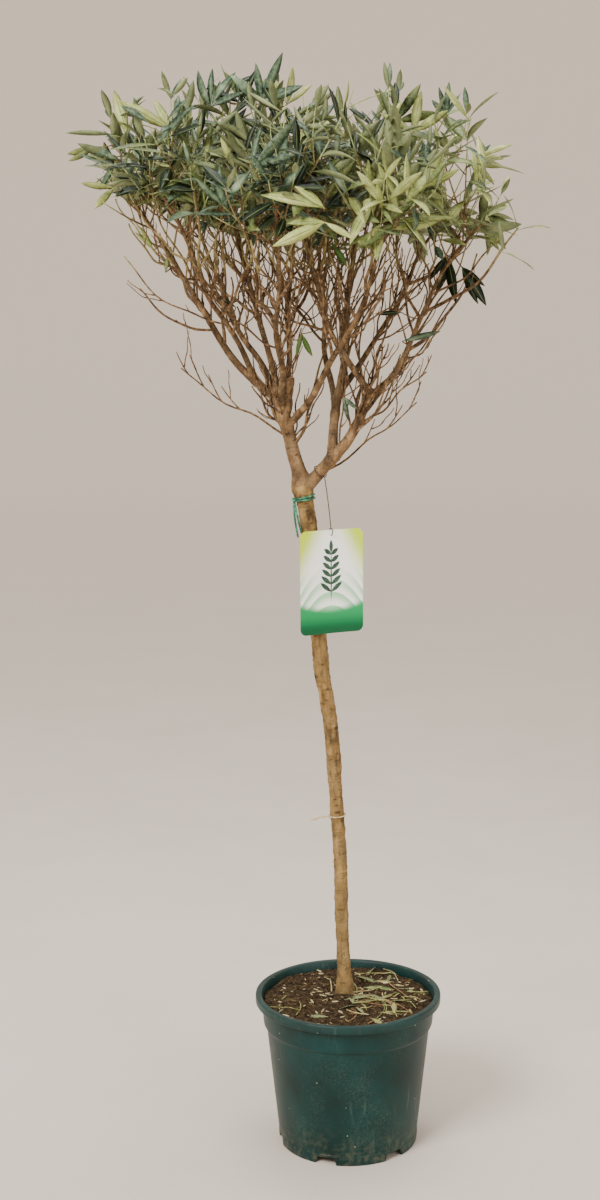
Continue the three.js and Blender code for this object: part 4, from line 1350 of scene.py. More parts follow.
def spray_tint(end, draw):
    """A spray's tint, from deep to young: it grows towards the rim and the right, falls a little upwards,
    and is otherwise chance. The steps towards the rim and the right are partly painted light: the
    crown's inside darker, as in shade, and its right-hand side lighter, as if lit more. The rim is
    counted more from side to side than from front to back."""
    rim = lerp(from_crown_centre(end), abs(end[0] - CROWN["x"]), YOUTH_AND_PAINTED_LIGHT["rim_aside"]) / CROWN["radius"]
    right = np.clip((end[0] - YOUTH_AND_PAINTED_LIGHT["right_from"]) / YOUTH_AND_PAINTED_LIGHT["right_reach"], 0, 1)
    # Painted light: the rim term darkens the crown's inside, as in shade, and the right term lightens its
    # right-hand side.
    steps = YOUTH_AND_PAINTED_LIGHT["least"] + YOUTH_AND_PAINTED_LIGHT["rim"] * rim + YOUTH_AND_PAINTED_LIGHT["right"] * right
    steps += YOUTH_AND_PAINTED_LIGHT["upwards"] * (end[2] - CROWN["top"]) + YOUTH_AND_PAINTED_LIGHT["chance"] * draw()
    return int(np.clip(steps, 0, YOUNGEST))


def leaf_tint(tint, draw):
    """Now and then a leaf is a step lighter or darker than its spray."""
    lot = draw()
    return int(np.clip(tint + (lot > YOUTH_AND_PAINTED_LIGHT["lighter_over"]) - (lot < YOUTH_AND_PAINTED_LIGHT["darker_under"]), 0, YOUNGEST))


def add_leaves(growth, controls, kind, size, first_turn, tint, fits, draw):
    """Opposite pairs of leaves along a curve, each square to the one before. A
    pair is turned until both fit, and a leaf that still doesn't is left out."""
    for pair, (share, scale, spread) in enumerate(zip(*PAIRS[kind])):
        length = size * scale
        root = bezier(controls, share)
        axis = bezier_tangent(controls, share)
        best = []
        for attempt in range(PAIR["tries"]):
            turn = first_turn + math.pi / 2 * pair + attempt * PAIR["retry_turn"]
            places = []
            for each in (turn, turn + math.pi):
                out = side_direction(axis, each)
                angle = math.radians(spread + PAIR["spread"] * (2 * draw() - 1))
                along = axis * math.cos(angle) + out * math.sin(angle)
                along = unit(along + UP * lerp(*LEAF["lift"], draw()))
                if all(fits(root + along * length * part) for part in PAIR["tested_at"]):
                    grown = length * lerp(*PAIR["length"], draw())
                    places.append((along, np.cross(axis, out), grown))
            if len(places) > len(best):
                best = places
            if len(best) == 2:
                break
        for place in best:
            growth.add_leaf(root, *place, leaf_tint(tint, draw), draw)


def grow_mass(mass):
    """A mass's stem, its shoots with their pairs of leaves,
    and finer side twigs, all within the mass's own reach."""
    growth = Growth()
    stem = mass_stem(mass)
    stem_girth = [mass["tip_radius"] * MASS["foot_girth"], MASS["girth"]]
    growth.add_twig(bezier(stem, lerp(MASS["foot_sunk"], 1, TWIG_STEPS)), stem_girth, BROWN)

    def fits(point):
        own = depth_in_space(mass, point) > MASS["edge_margin"]
        return own and clear_of_limbs(point) and inside_crown(point)

    def fits_leaf(point):
        return may_bear_leaf(point) and fits(point)

    for end, seed in mass["shoots"]:
        draw = seeded_row(seed)
        controls = shoot_controls(stem, end, draw)
        path = bezier(controls, TWIG_STEPS * SHOOT["past_end"])
        if not all(fits(point) for point in path[3:]):
            continue
        tint = spray_tint(end, draw)
        ages = np.clip((TWIG_STEPS[:-1] * SHOOT["greening"]).astype(int), BROWN, GREEN)
        growth.add_twig(path, SHOOT["girth"], ages)
        size = lerp(*LEAF["length"], lerp(SHOOT["least_leaf"], 1, draw()))
        add_leaves(growth, controls, "shoot", size, draw() * math.pi, tint, fits_leaf, draw)
        for share in SIDE_TWIG["at"]:
            grow_side_twig(growth, controls, share, tint, fits_leaf, draw)
    return growth


def grow_side_twig(growth, controls, share, tint, fits, draw):
    """A finer twig that leaves a shoot aside and turns up, with its own pairs of leaves."""
    axis = bezier_tangent(controls, share)
    foot = bezier(controls, share)
    reach = lerp(*SIDE_TWIG["length"], draw())
    angle = math.radians(lerp(*SIDE_TWIG["slant"], draw()))
    first = draw() * 2 * math.pi
    for attempt in range(SIDE_TWIG["tries"]):
        out = side_direction(axis, first + attempt * SIDE_TWIG["retry_turn"])
        knee = foot + (axis * math.cos(angle) + out * math.sin(angle)) * reach / 2
        head = knee + unit(axis + out * SIDE_TWIG["outward"] + UP * SIDE_TWIG["rise"]) * reach / 2
        if fits(head) and fits(knee):
            break
    else:
        return
    bend = (foot, knee, head)
    ages = np.where(TWIG_STEPS[:-1] > SIDE_TWIG["green_from"], GREEN, OLIVE)
    growth.add_twig(bezier(bend, TWIG_STEPS), SIDE_TWIG["girth"], ages)
    size = lerp(*LEAF["length"], SIDE_TWIG["largest_leaf"] * draw())
    add_leaves(growth, bend, "side_twig", size, draw() * math.pi, tint, fits, draw)


def crooked(controls, wander, draw):
    """A twig's path: a quadratic curve with a sine to each side that starts from nothing at its foot."""
    path = bezier(controls, TWIG_STEPS)
    heading = unit(controls[2] - controls[0])
    first = side_direction(heading, 0.0)
    for side, turns in ((first, 1.1), (np.cross(heading, first), 1.7)):
        phase = draw()
        sway = np.sin(2 * np.pi * (turns * TWIG_STEPS + phase))
        sway -= np.sin(2 * np.pi * phase) * (1 - TWIG_STEPS)
        path = path + (wander * np.minimum(1, 3 * TWIG_STEPS) * sway / turns)[:, None] * side
    return path


def grow_branchlets(growth, limb, count, seed):
    """Slender branchlets that leave a limb at the golden angle from each other and curve upwards,
    with spurs. Those that end high under the leaves carry a pair or two of their own."""
    line = limb["line"]
    draw = seeded_row(seed)
    for index in range(count):
        share = lerp(BRANCHLET["from"], BRANCHLET["to"], (index + BRANCHLET["room"] * draw()) / count)
        foot = line.points(share)
        axis = tangent_at(line, share)
        out = side_direction(axis, index * GOLDEN_ANGLE + draw())
        angle = math.radians(lerp(*BRANCHLET["lean"], draw()))
        reach = lerp(*BRANCHLET["length"], draw() ** BRANCHLET["length_power"])
        reach = min(reach, (BRANCHLET["top"] - foot[2]) * BRANCHLET["past_top"])
        heading = axis * math.cos(angle) + out * math.sin(angle)
        head = foot + unit(heading + UP * BRANCHLET["rise"]) * reach
        if reach < BRANCHLET["shortest"] or not (inside_crown(head) and inside_cone(head)):
            continue
        controls = (foot, foot + heading * reach / 2, head)
        path = crooked(controls, BRANCHLET["wander"], draw)
        stout = draw() ** 2 * min(1, reach / BRANCHLET["stout_reach"])
        girth = [lerp(*ends, stout) for ends in BRANCHLET["girth"]]
        ages = np.where(path[1:, 2] > BRANCHLET["olive_above"], OLIVE, BROWN)
        growth.add_twig(path, girth, ages, round(reach / BRANCHLET["swelling_every"]))
        for fork in range(int(BRANCHLET["forks"] * draw() + BRANCHLET["more_forks"])):
            grow_spur(growth, path, lerp(*BRANCHLET["fork_shares"], draw()), fork, draw)
        if head[2] > BRANCHLET["leafy_above"]:
            size = lerp(*LEAF["length"], BRANCHLET["largest_leaf"] * draw())
            tint = spray_tint(head, draw)
            turn = 3 * draw()
            add_leaves(growth, controls, "branchlet", size, turn, tint, may_bear_leaf, draw)


def grow_spur(growth, path, share, index, draw):
    """A short bare spur off a twig's path: it leaves aside at a slant and bends upwards."""
    station = int(share * (len(path) - 2))
    foot = path[station]
    axis = unit(path[station + 1] - foot)
    out = side_direction(axis, index * SPUR["turn"] + 3 * draw())
    reach = lerp(*SPUR["length"], draw() ** SPUR["length_power"])
    slant = unit(axis + out * lerp(*SPUR["lean"], draw()))
    head = foot + unit(slant + UP * SPUR["rise"]) * reach
    path = crooked((foot, foot + slant * reach / 2, head), SPUR["wander"] * reach, draw)
    growth.add_twig(path, SPUR["girth"], BROWN, round(reach / SPUR["swelling_every"]))


def grow_bare_shoot(row, seed):
    """A bare shoot low in the head: one thin stem that grows
    as limbs do, with short forks on alternate sides."""
    _, parent, at, tip, lean, forks = row
    line = LimbLine(limbs[parent]["line"].points(at), tip, lean, BARE["wander"], seed)
    draw = seeded_row(seed)
    growth = Growth()
    growth.add_twig(line.points(TWIG_STEPS), BARE["girth"], BROWN, BARE["swellings"])
    for index in range(forks):
        share = lerp(BARE["forks_from"], BARE["forks_to"], index / (forks - 1))
        root = line.points(share)
        side = 1 if index % 2 == 0 else -1
        end = root + tangent_at(line, share) * FORK["length"] * FORK["ahead"]
        end = end - line.across * side * FORK["length"] * lerp(*FORK["aside"], draw())
        end = end + UP * FORK["length"] * lerp(*FORK["rise"], draw())
        path = bezier((root, lerp(root, end, 0.5) - UP * FORK["sag"], end), TWIG_STEPS)
        growth.add_twig(path, FORK["girth"], BROWN, FORK["swellings"])
        grow_spur(growth, path, lerp(*FORK["spur_at"], draw()), index, draw)
    return growth


def make_growth(name, growth, replaces=()):
    """A growth's twigs and leaves as two pieces."""
    make_piece(name + "_twigs", growth.twig_surface(), TWIG_FINISHES, replaces)
    if growth.leaves:
        make_piece(name + "_leaves", leaf_blades(growth.leaves), LEAF_FINISHES, replaces)


def in_front_plane(slope, towards_front):
    """A direction at a slope in the upright plane that faces front, turned out of it by an angle."""
    slope, towards_front = math.radians(slope), math.radians(towards_front)
    level = np.array([math.cos(slope), 0, math.sin(slope)]) * math.cos(towards_front)
    return level - BACK * math.sin(towards_front)


def grow_sprays(near_points):
    """The sprays that stand out, each on a thin stalk from
    the nearest wood, and the long whips with a few leaves."""
    growth = Growth()
    draw = seeded_row(SEEDS["stray"])
    for place, tint, leaves in SPRAYS:
        place = np.array(place, float)
        foot = near_points[np.argmin(np.linalg.norm(near_points - place, axis=1))]
        reach = np.linalg.norm(place - foot)
        knee = lerp(foot, place, 0.5) - UP * SPRAY_STALK["sag"] * reach
        finish = OLIVE if place[2] > SPRAY_STALK["olive_above"] else BROWN
        growth.add_twig(bezier((foot, knee, place), TWIG_STEPS), SPRAY_STALK["girth"], finish)
        for slope, towards_front, length in leaves:
            along = in_front_plane(slope, towards_front)
            growth.add_leaf(place, along, in_front_plane(slope + 90, 0), length, tint, draw)
    for controls in WHIPS:
        controls = [np.array(point, float) for point in controls]
        growth.add_twig(bezier(controls, TWIG_STEPS), WHIP["girth"], GREEN)
        turn = 3 * draw()
        add_leaves(growth, controls, "whip", WHIP["leaf"], turn, YOUNGEST, inside_crown, draw)
    return growth


def make_tree():
    """The masses of foliage, the branchlets under them, the
    sprays that stand out and the bare shoots low down."""
    near_points = [LIMB_POINTS]
    for mass in masses:
        growth = grow_mass(mass)
        near_points.extend(growth.paths)
        make_growth(mass["name"], growth, [mass["name"]])
    make_growth("leading_sprays", grow_sprays(np.concatenate(near_points)))
    branchlets = Growth()
    for index, (name, limb) in enumerate(limbs.items()):
        if name.startswith(("bough_", "leader_")):
            place = "inner" if name.endswith("_inner") or name.startswith("leader_") else "outer"
            grow_branchlets(branchlets, limb, BRANCHLET["count"][place], SEEDS["branchlet"] + index)
    make_growth("bare_branchlets", branchlets)
    for index, row in enumerate(BARE_ROWS):
        make_growth(row[0], grow_bare_shoot(row, SEEDS["bare"] + index), [row[0]])


def notch_height(angles):
    """How high the foot is cut away at an angle: the notch's
    height within its half width, with steep ends."""
    first = math.radians(NOTCH["first_angle"])
    pitch = 2 * math.pi / NOTCH["count"]
    from_middle = np.degrees(np.abs((angles - first + pitch / 2) % pitch - pitch / 2))
    return NOTCH["height"] * np.clip((NOTCH["half_width"] - from_middle) / NOTCH["edge"], 0, 1)


def pot_profile():
    """The pot's outside from the middle of its foot to its
    rim, and back down its inside, with rounded corners."""
    wall, height, foot = POT["wall"], POT["height"], POT["foot_radius"]
    band_swell, band_edge = POT["foot_swell"]
    floor = POT["gutter_height"] + wall
    rows = [
        [0, 0],
        [GUTTER_FOOT, 0],
        [POT["gutter_inner"], POT["gutter_height"]],
        [POT["gutter_outer"], POT["gutter_height"]],
        [foot - POT["foot_width"], 0],
        [foot, 0],
        [foot + band_swell, POT["foot_band"] - POT["foot_bevel"]],
        [foot + band_edge, POT["foot_band"]],
        [STEP_RADIUS, COLLAR_BASE - POT["step"]],
        [POT["collar_bottom"], COLLAR_BASE],
        [POT["collar_top"], RIM_BASE],
        [POT["rim_radius"], RIM_BASE],
        [POT["rim_radius"], height],
        [POT["collar_top"], height],
        [POT["collar_top"] - wall, RIM_BASE],
        [POT["collar_bottom"] - wall, COLLAR_BASE],
        [STEP_RADIUS - wall, COLLAR_BASE - POT["step"]],
        [foot - wall, floor],
        [POT["gutter_inner"], floor],
        [GUTTER_FOOT, wall],
        [0, wall],
    ]
    profile = rounded(np.array(rows, float), POT["rim_round"], POT["corner_steps"])
    return refined(profile, POT["step_length"])


def make_pot():
    """The pot: its profile turned, the outside of its foot pressed up into notches that fade out
    at the foot's band or the gutter, a slight oval that grows upwards, and drain holes bored."""
    surface = turned_surface(pot_profile(), POT["columns"])
    points = surface.points
    radius = np.hypot(points[:, 0], points[:, 1])
    angles = np.arctan2(points[:, 1], points[:, 0])
    rise = notch_height(angles)
    inner_wall = POT["foot_radius"] - POT["wall"] - POT["near"] + POT["lean"] * points[:, 2]
    inside = (points[:, 2] > POT["gutter_height"] + POT["wall"] / 2) & (radius < inner_wall)
    foot = (radius > POT["gutter_outer"] + POT["near"] / 2) & ~inside & (points[:, 2] < POT["foot_band"])
    outer = radius > POT["foot_radius"] - POT["foot_width"] / 2
    top = np.where(outer, POT["foot_band"], POT["gutter_height"])
    pressed = rise + points[:, 2] * (1 - rise / top)
    points[:, 2] = np.where(foot, np.maximum(points[:, 2], pressed), points[:, 2])
    reach, phase = POT["wobble"]
    wobble = reach * np.sin(2 * angles + phase) * np.clip(points[:, 2] / POT["height"], 0, 1) ** 2
    points[:, :2] *= (1 + wobble / np.maximum(radius, 1))[:, None]
    piece = make_piece("pot_shell", surface, [pot_material()], ["pot"], SHARP["pot"])
    bore_drains(piece)


def bore_drains(piece):
    """Six round holes through the gutter, cut by closed rods and then applied to the mesh."""
    first = math.radians(NOTCH["first_angle"])
    angles = first + np.arange(NOTCH["count"]) * 2 * np.pi / NOTCH["count"]
    feet = DRAIN["ring"] * np.stack([np.cos(angles), np.sin(angles), np.zeros(len(angles))], axis=-1)
    rises = np.array([-0.5, 0.5]) * DRAIN["depth"]
    paths = feet[:, None] + UP * rises[:, None]
    rods = tubes(paths, np.full((len(angles), 2), float(DRAIN["radius"])), DRAIN["sides"], RIGHT)
    cutter = make_piece("drain_cutter", rods, [])
    modifier = piece.modifiers.new("drains", "BOOLEAN")
    modifier.operation = "DIFFERENCE"
    modifier.object = cutter
    modifier.solver = "EXACT"
    view = bpy.context.evaluated_depsgraph_get()
    bored = bpy.data.meshes.new_from_object(piece.evaluated_get(view))
    piece.modifiers.clear()
    piece.data = bored
    bored.set_sharp_from_angle(angle=math.radians(SHARP["pot"]))
    bpy.data.objects.remove(cutter)


def soil_profile():
    """The compost's outside: the pot's inside less the clearance, and a slightly domed top."""
    off = POT["wall"] + GAP
    share = (SOIL["edge_top"] - COLLAR_BASE) / (RIM_BASE - COLLAR_BASE)
    top_radius = lerp(POT["collar_bottom"], POT["collar_top"], share) - off
    rows = [
        [0, off],
        [GUTTER_FOOT - GAP, off],
        [POT["gutter_inner"] - GAP, POT["gutter_height"] + off],
        [POT["foot_radius"] - off, POT["gutter_height"] + off],
        [STEP_RADIUS - off, COLLAR_BASE - POT["step"]],
        [top_radius, SOIL["edge_top"]],
        [top_radius - SOIL["slope"], SOIL["top"]],
        [0, SOIL["top"]],
    ]
    return np.array(rows, float)


SOIL_EDGE = soil_profile()[-3, 0]


def from_trunk_foot(x, y):
    """How far a place on the compost lies from the trunk's middle."""
    foot = trunk_line.points(TRUNK["foot_share"])
    return np.hypot(x - foot[0], y - foot[1])


def soil_height(x, y):
    """The compost's top: level in the middle, lower at its edge and
    raised round the trunk, under lumps of layered noise in two sizes."""
    slope = np.clip((SOIL_EDGE - np.hypot(x, y)) / SOIL["slope"], 0, 1)
    place = np.stack([x, y, np.zeros_like(x)], axis=-1)
    lumps = sum(layered_noise(place / size, seed, 3) * strength for size, seed, strength in SOIL["lumps"])
    mound = SOIL["mound"] * np.exp(-((from_trunk_foot(x, y) / SOIL["mound_reach"]) ** 2))
    return lerp(SOIL["edge_top"], SOIL["top"], slope) + lumps + mound + SOIL["raised"]


def make_soil():
    """The compost's body, its top raised into lumps, with crumbs, straw and fallen leaves strewn on it."""
    below = refined(soil_profile()[:-2], SOIL["step_length"])
    top_radii = np.linspace(SOIL_EDGE, 0, SOIL["rows"])[1:]
    top = np.stack([top_radii, np.full(len(top_radii), SOIL["top"])], axis=-1)
    surface = turned_surface(np.concatenate([below, top]), SOIL["columns"])
    points = surface.points
    upper = points[:, 2] > SOIL["edge_top"] - 0.1
    points[upper, 2] = soil_height(points[upper, 0], points[upper, 1])
    make_piece("compost_body", surface, [compost_material()], ["soil"])
    make_crumbs()
    draw = seeded_row(SEEDS["litter"])
    make_straw(draw)
    make_fallen_leaves(draw)


def strewn(rule):
    """Places strewn evenly over the compost by the golden angle, clear of
    the trunk. Some of them are mirrored to the right and the front."""
    seed = rule["seed"]
    index = np.arange(rule["count"]) + 0.5
    radius = (SOIL_EDGE - STREWN["from_edge"]) * np.sqrt(index / rule["count"])
    angle = index * GOLDEN_ANGLE + seed
    x, y = radius * np.cos(angle), radius * np.sin(angle)
    lot = lattice_value(np.stack([index, index * 0, index * 0 + seed], axis=-1), seed)
    front = STREWN["front_from"] - np.abs(y) * STREWN["to_front"]
    x = np.where(lot < rule["moved"], np.abs(x) * STREWN["to_right"], x)
    y = np.where(lot < rule["moved"] * STREWN["front_share"], front, y)
    clear = from_trunk_foot(x, y) >= SOIL["trunk_room"]
    return x[clear], y[clear]


def make_crumbs():
    """Many small lumps: rough balls of a few rings, each stretched and
    turned its own way. The brown and the pale ones are flatter chips."""
    x, y = strewn(CRUMB)
    row = np.arange(len(x))
    large, long, broad, tall, turn, kind = (
        lattice_value(np.stack([row, row * 0 + part, row * 0], axis=-1), CRUMB["form_seed"])
        for part in range(6)
    )
    chip = kind > CRUMB["brown_from"]
    pale = kind > CRUMB["pale_from"]
    least, grown, if_pale = CRUMB["size"]
    size = least + grown * large**3 + if_pale * pale
    latitudes = CRUMB["highest_ring"] * np.linspace(-1, 1, CRUMB["rings"])
    rings = np.stack([np.sqrt(1 - latitudes**2), latitudes], axis=-1)
    ball = turned_surface(np.concatenate([[[0, -1]], rings, [[0, 1]]]), CRUMB["sides"])
    cells = np.stack(np.broadcast_arrays(row[:, None], np.arange(len(ball.points)), 0), axis=-1)
    rough = 1 + CRUMB["rough"] * (lattice_value(cells, CRUMB["rough_seed"]) - 0.5)
    stretch = np.stack([
        start + spread * lot + if_chip * chip
        for (start, spread, if_chip), lot in zip(CRUMB["stretch"], (long, broad, tall))
    ], axis=-1)
    lumps = ball.points * rough[..., None] * stretch[:, None] * size[:, None, None]
    cosine, sine = np.cos(2 * np.pi * turn)[:, None], np.sin(2 * np.pi * turn)[:, None]
    points = np.stack(
        [
            lumps[..., 0] * cosine - lumps[..., 1] * sine + x[:, None],
            lumps[..., 0] * sine + lumps[..., 1] * cosine + y[:, None],
            lumps[..., 2] + (soil_height(x, y) + size * CRUMB["raised"])[:, None],
        ],
        axis=-1,
    )
    finish = chip.astype(int) + pale
    quad_finish = np.repeat(finish, len(ball.quads))
    surface = copied(points, ball.quads, ball.tris, quad_finish, np.repeat(finish, len(ball.tris)))
    finishes = [
        fibre_material("crumb_dark", [(30, 21, 13), (64, 47, 30), (96, 76, 52)], 260.0, 0.95),
        fibre_material("crumb_brown", [(70, 52, 32), (100, 78, 50), (134, 110, 76)], 260.0, 0.9),
        fibre_material("crumb_pale", [(150, 136, 98), (186, 172, 130), (212, 200, 164)], 200.0, 0.85),
    ]
    make_piece("compost_crumbs", surface, finishes)


def make_straw(draw):
    """Straws on the compost: each a line with a hook by the square of its run, kept
    within the pot, laid over the lumps under it and now and then lifted at one end."""
    straw = Growth()
    steps = TWIG_STEPS - 0.5
    for place_x, place_y in zip(*strewn(STRAW)):
        heading = 2 * math.pi * draw()
        reach = lerp(*STRAW["length"], draw() ** STRAW["length_power"])
        hook = lerp(*STRAW["hook"], draw()) * reach
        x = place_x + reach * steps * math.cos(heading) - hook * steps**2 * math.sin(heading)
        y = place_y + reach * steps * math.sin(heading) + hook * steps**2 * math.cos(heading)
        keep = np.minimum(1, (SOIL_EDGE - STRAW["from_edge"]) / np.hypot(x, y))
        x, y = x * keep, y * keep
        ground = soil_height(x, y)
        rest = lerp(ground, ground.max(), STRAW["lying"]) + STRAW["above"]
        rest = rest + STRAW["lift"] * max(0, draw() - STRAW["lift_from"]) * TWIG_STEPS
        girth = lerp(*STRAW["girth"], draw())
        kind = int(draw() * 3)
        straw.add_twig(np.stack([x, y, rest], axis=-1), [girth, girth * STRAW["tip_girth"]], kind)
    finishes = [
        fibre_material("straw_pale", [(140, 122, 78), (184, 168, 118), (218, 206, 160)], 160.0, 0.75),
        fibre_material("straw_green", [(98, 100, 52), (140, 140, 84), (178, 178, 122)], 160.0, 0.75),
        fibre_material("straw_brown", [(94, 68, 42), (136, 106, 70), (172, 142, 102)], 160.0, 0.8),
    ]
    make_piece("compost_straw", straw.twig_surface(STRAW["sides"]), finishes)


def make_fallen_leaves(draw):
    """Leaves that lie on the highest lump under them, little
    bent: a few listed, the others strewn."""
    fallen = Growth()
    rows = list(FALLEN_LEAVES)
    for x, y in zip(*strewn(FALLEN)):
        degrees = 360 * draw()
        reach = lerp(*FALLEN["length"], draw())
        rows.append([x, y, degrees, reach, DRY if draw() < FALLEN["dry"] else UNDERSIDE])
    for place_x, place_y, degrees, reach, tint in rows:
        heading = math.radians(degrees)
        along = np.array([math.cos(heading), math.sin(heading), FALLEN["slope"]])
        start = np.array([place_x, place_y]) - along[:2] * reach / 2
        line = start + along[:2] * np.linspace(0, 1, 9)[:, None] * reach
        root = np.append(start, soil_height(line[:, 0], line[:, 1]).max() + FALLEN["above"])
        fallen.add_leaf(root, along, np.cross(UP, along), reach, tint, draw)
        fallen.leaves[-1]["bend"] = FALLEN["bend"]
        fallen.leaves[-1]["twist"] *= FALLEN["twist"]
    make_piece("fallen_leaves", leaf_blades(fallen.leaves), LEAF_FINISHES)


def loop_path(centre, axis, radius, stations, start):
    """A ring square to an axis, begun at the start direction and ended where it began."""
    first = unit(start - axis * np.dot(start, axis))
    second = np.cross(axis, first)
    angles = np.linspace(0, 2 * np.pi, stations)[:, None]
    return centre + radius * (np.cos(angles) * first + np.sin(angles) * second)


def make_band(name, band, finish, node):
    """Rings round the trunk that meet at a knot in front on its left, and two tails, all of one
    round wire. A ring tilts by its lift and ripples by a sine, and the knot is a short coil."""
    shares = np.linspace(0, 1, READINGS["band"])
    at = shares[np.argmax(trunk_line.points(shares)[:, 2] >= band["height"])]
    centre = trunk_line.points(at)
    axis = tangent_at(trunk_line, at)
    wire = band["wire"]
    radius = float(trunk_radius(at)) + BAND["room"] + wire
    left = unit(np.array(BAND["knot_side"]))
    surfaces = []
    around = np.linspace(0, 2 * np.pi, BAND["ring_steps"])
    for lift in band["lifts"]:
        tilt = math.radians(-np.sign(lift) * band["tilt"])
        ring_axis = unit(axis + RIGHT * math.sin(tilt))
        path = loop_path(centre + axis * lift, ring_axis, radius, BAND["ring_steps"], left)
        path = path + axis * (BAND["ripple"] * wire * np.sin(band["twist"] * around))[:, None]
        surfaces.append(wire_tube(path, wire, BAND["sides"], ring_axis))
    knot = centre + unit(left - axis * np.dot(left, axis)) * (radius + wire * BAND["knot_out"])
    turns = np.linspace(0, 2 * np.pi * BAND["knot_turns"], BAND["knot_steps"])
    long, round_radius, thin = BAND["coil"]
    coil = [long * np.cos(turns / 2), round_radius * np.sin(turns), round_radius * np.cos(turns)]
    surfaces.append(wire_tube(knot + wire * np.stack(coil, axis=-1), wire * thin, BAND["sides"], RIGHT))
    for index, apart in enumerate((-BAND["tail_apart"], BAND["tail_apart"])):
        shorter = 1 - BAND["tail_shorter"] * index
        bow = knot + np.array([band["bow"][0] + apart, -BAND["tail_forward"], band["bow"][1]])
        end = knot + np.array([band["tail"][0] + apart, -BAND["tail_forward"], band["tail"][1] * shorter])
        path = bezier((knot, bow, end), np.linspace(0, 1, BAND["tail_steps"]))
        surfaces.append(wire_tube(path, wire, BAND["sides"], BACK))
    make_piece(name, joined(surfaces), [finish], [node], SHARP["band"])


def card_hole():
    """The middle of the card's hole: the card's back lies a clearance in front of the trunk."""
    turn = math.radians(CARD["turn"])
    back = np.array([-math.sin(turn), math.cos(turn), 0.0])
    hole = np.array([CARD["x"], 0.0, CARD["top"] - CARD["drop"]])
    shares = np.linspace(0, 1, READINGS["length"])
    points = trunk_line.points(shares)
    beside = (points[:, 2] < CARD["top"]) & (points[:, 2] > CARD["top"] - CARD["height"])
    rooms = (points[beside] - hole) @ back - trunk_radius(shares[beside])
    return hole + back * (rooms.min() - CARD["room"] - GAP), back


def card_points(across, up, out):
    """A point of the card from its share across, its share up and its distance in front. The card bows a
    little forward towards its sides and its foot, by the square of how far they are from the middle."""
    hole, back = card_hole()
    side = np.array([back[1], -back[0], 0.0])
    bow = CARD["bow"] * ((2 * across - 1) ** 2 + 0.5 * (1 - up) ** 2)
    return (
        hole
        + side * ((across - 0.5) * CARD["width"])[..., None]
        + UP * ((up - 1) * CARD["height"] + CARD["drop"])[..., None]
        - back * (bow + out)[..., None]
    )


def corner_inset(up):
    """How far the card's side is drawn in at a height, for
    its round corners: a quarter circle at each end."""
    radius = CARD["corner"]
    from_end = np.minimum(up, 1 - up) * CARD["height"]
    into = np.clip(1 - from_end / radius, 0, 1)
    return radius * (1 - np.sqrt(1 - into**2))


def make_card():
    """The card: a thin plate whose rows narrow at its round
    corners, with a sprig of plain leaves printed on it."""
    ups = 0.5 - 0.5 * np.cos(np.linspace(0.0, np.pi, CARD["rows"]))
    inset = corner_inset(ups)[:, None] / CARD["width"]
    across = lerp(inset, 1 - inset, np.linspace(0, 1, CARD["columns"]))
    up = np.broadcast_to(ups[:, None], across.shape)
    front = card_points(across, up, np.full(across.shape, CARD["thickness"] / 2))
    rear = card_points(across, up, np.full(across.shape, -CARD["thickness"] / 2))
    rows, columns = across.shape
    face = grid_quads(rows, columns, False)
    edge = edge_quads(rows, columns)
    surface = Surface(
        np.concatenate([front.reshape(-1, 3), rear.reshape(-1, 3)]),
        np.concatenate([face, face[:, ::-1] + rows * columns, edge]),
    )
    piece = make_piece("hanging_card", surface, [card_material()], ["card"], SHARP["card"])
    set_values(piece, "card_across", np.tile(across.ravel(), 2))
    set_values(piece, "card_up", np.tile(up.ravel(), 2))
    make_print()


def edge_quads(rows, columns):
    """The faces that join the rim of a front grid to the rim of the same grid behind it."""
    top = np.arange(columns) + (rows - 1) * columns
    bottom = np.arange(columns)
    left = np.arange(rows) * columns
    right = left + columns - 1
    rim = np.concatenate([bottom[:-1], right[:-1], top[:0:-1], left[:0:-1]])
    after = np.roll(rim, -1)
    behind = rows * columns
    return np.stack([after, rim, rim + behind, after + behind], axis=-1)


def printed_leaf(up, degrees, length, width):
    """A flat printed leaf from the card's middle line: an almond outline as
    a sine over its length to a power, laid on the card's bowed front."""
    steps = np.linspace(0, 1, 13)
    aside = (width / 2 * np.sin(np.pi * steps) ** PRINT["fullness"])[:, None] * np.linspace(-1, 1, 5)
    along = np.broadcast_to(steps[:, None] * length, aside.shape)
    turn = math.radians(degrees)
    place_across = 0.5 + (along * math.cos(turn) - aside * math.sin(turn)) / CARD["width"]
    place_up = up + (along * math.sin(turn) + aside * math.cos(turn)) / CARD["height"]
    out = np.full(aside.shape, CARD["thickness"] / 2 + PRINT["proud"])
    points = card_points(place_across, place_up, out)
    return Surface(points, grid_quads(*aside.shape, False)[:, ::-1])


def make_print():
    """The printed sprig: an upright stem with pairs of slanting leaves and one at its top."""
    leaves = [printed_leaf(*PRINT["stem"]), printed_leaf(*PRINT["top"])]
    for index, up in enumerate(np.linspace(*PRINT["pair_shares"], PRINT["pairs"])):
        reach = PRINT["length"] - PRINT["shorter"] * index
        leaves.extend(printed_leaf(up, degrees, reach, PRINT["width"]) for degrees in PRINT["directions"])
    finish = fibre_material("printed_green", [(26, 50, 38), (44, 74, 56), (76, 106, 84)], 300.0, 0.4)
    make_piece("card_print", joined(leaves), [finish])


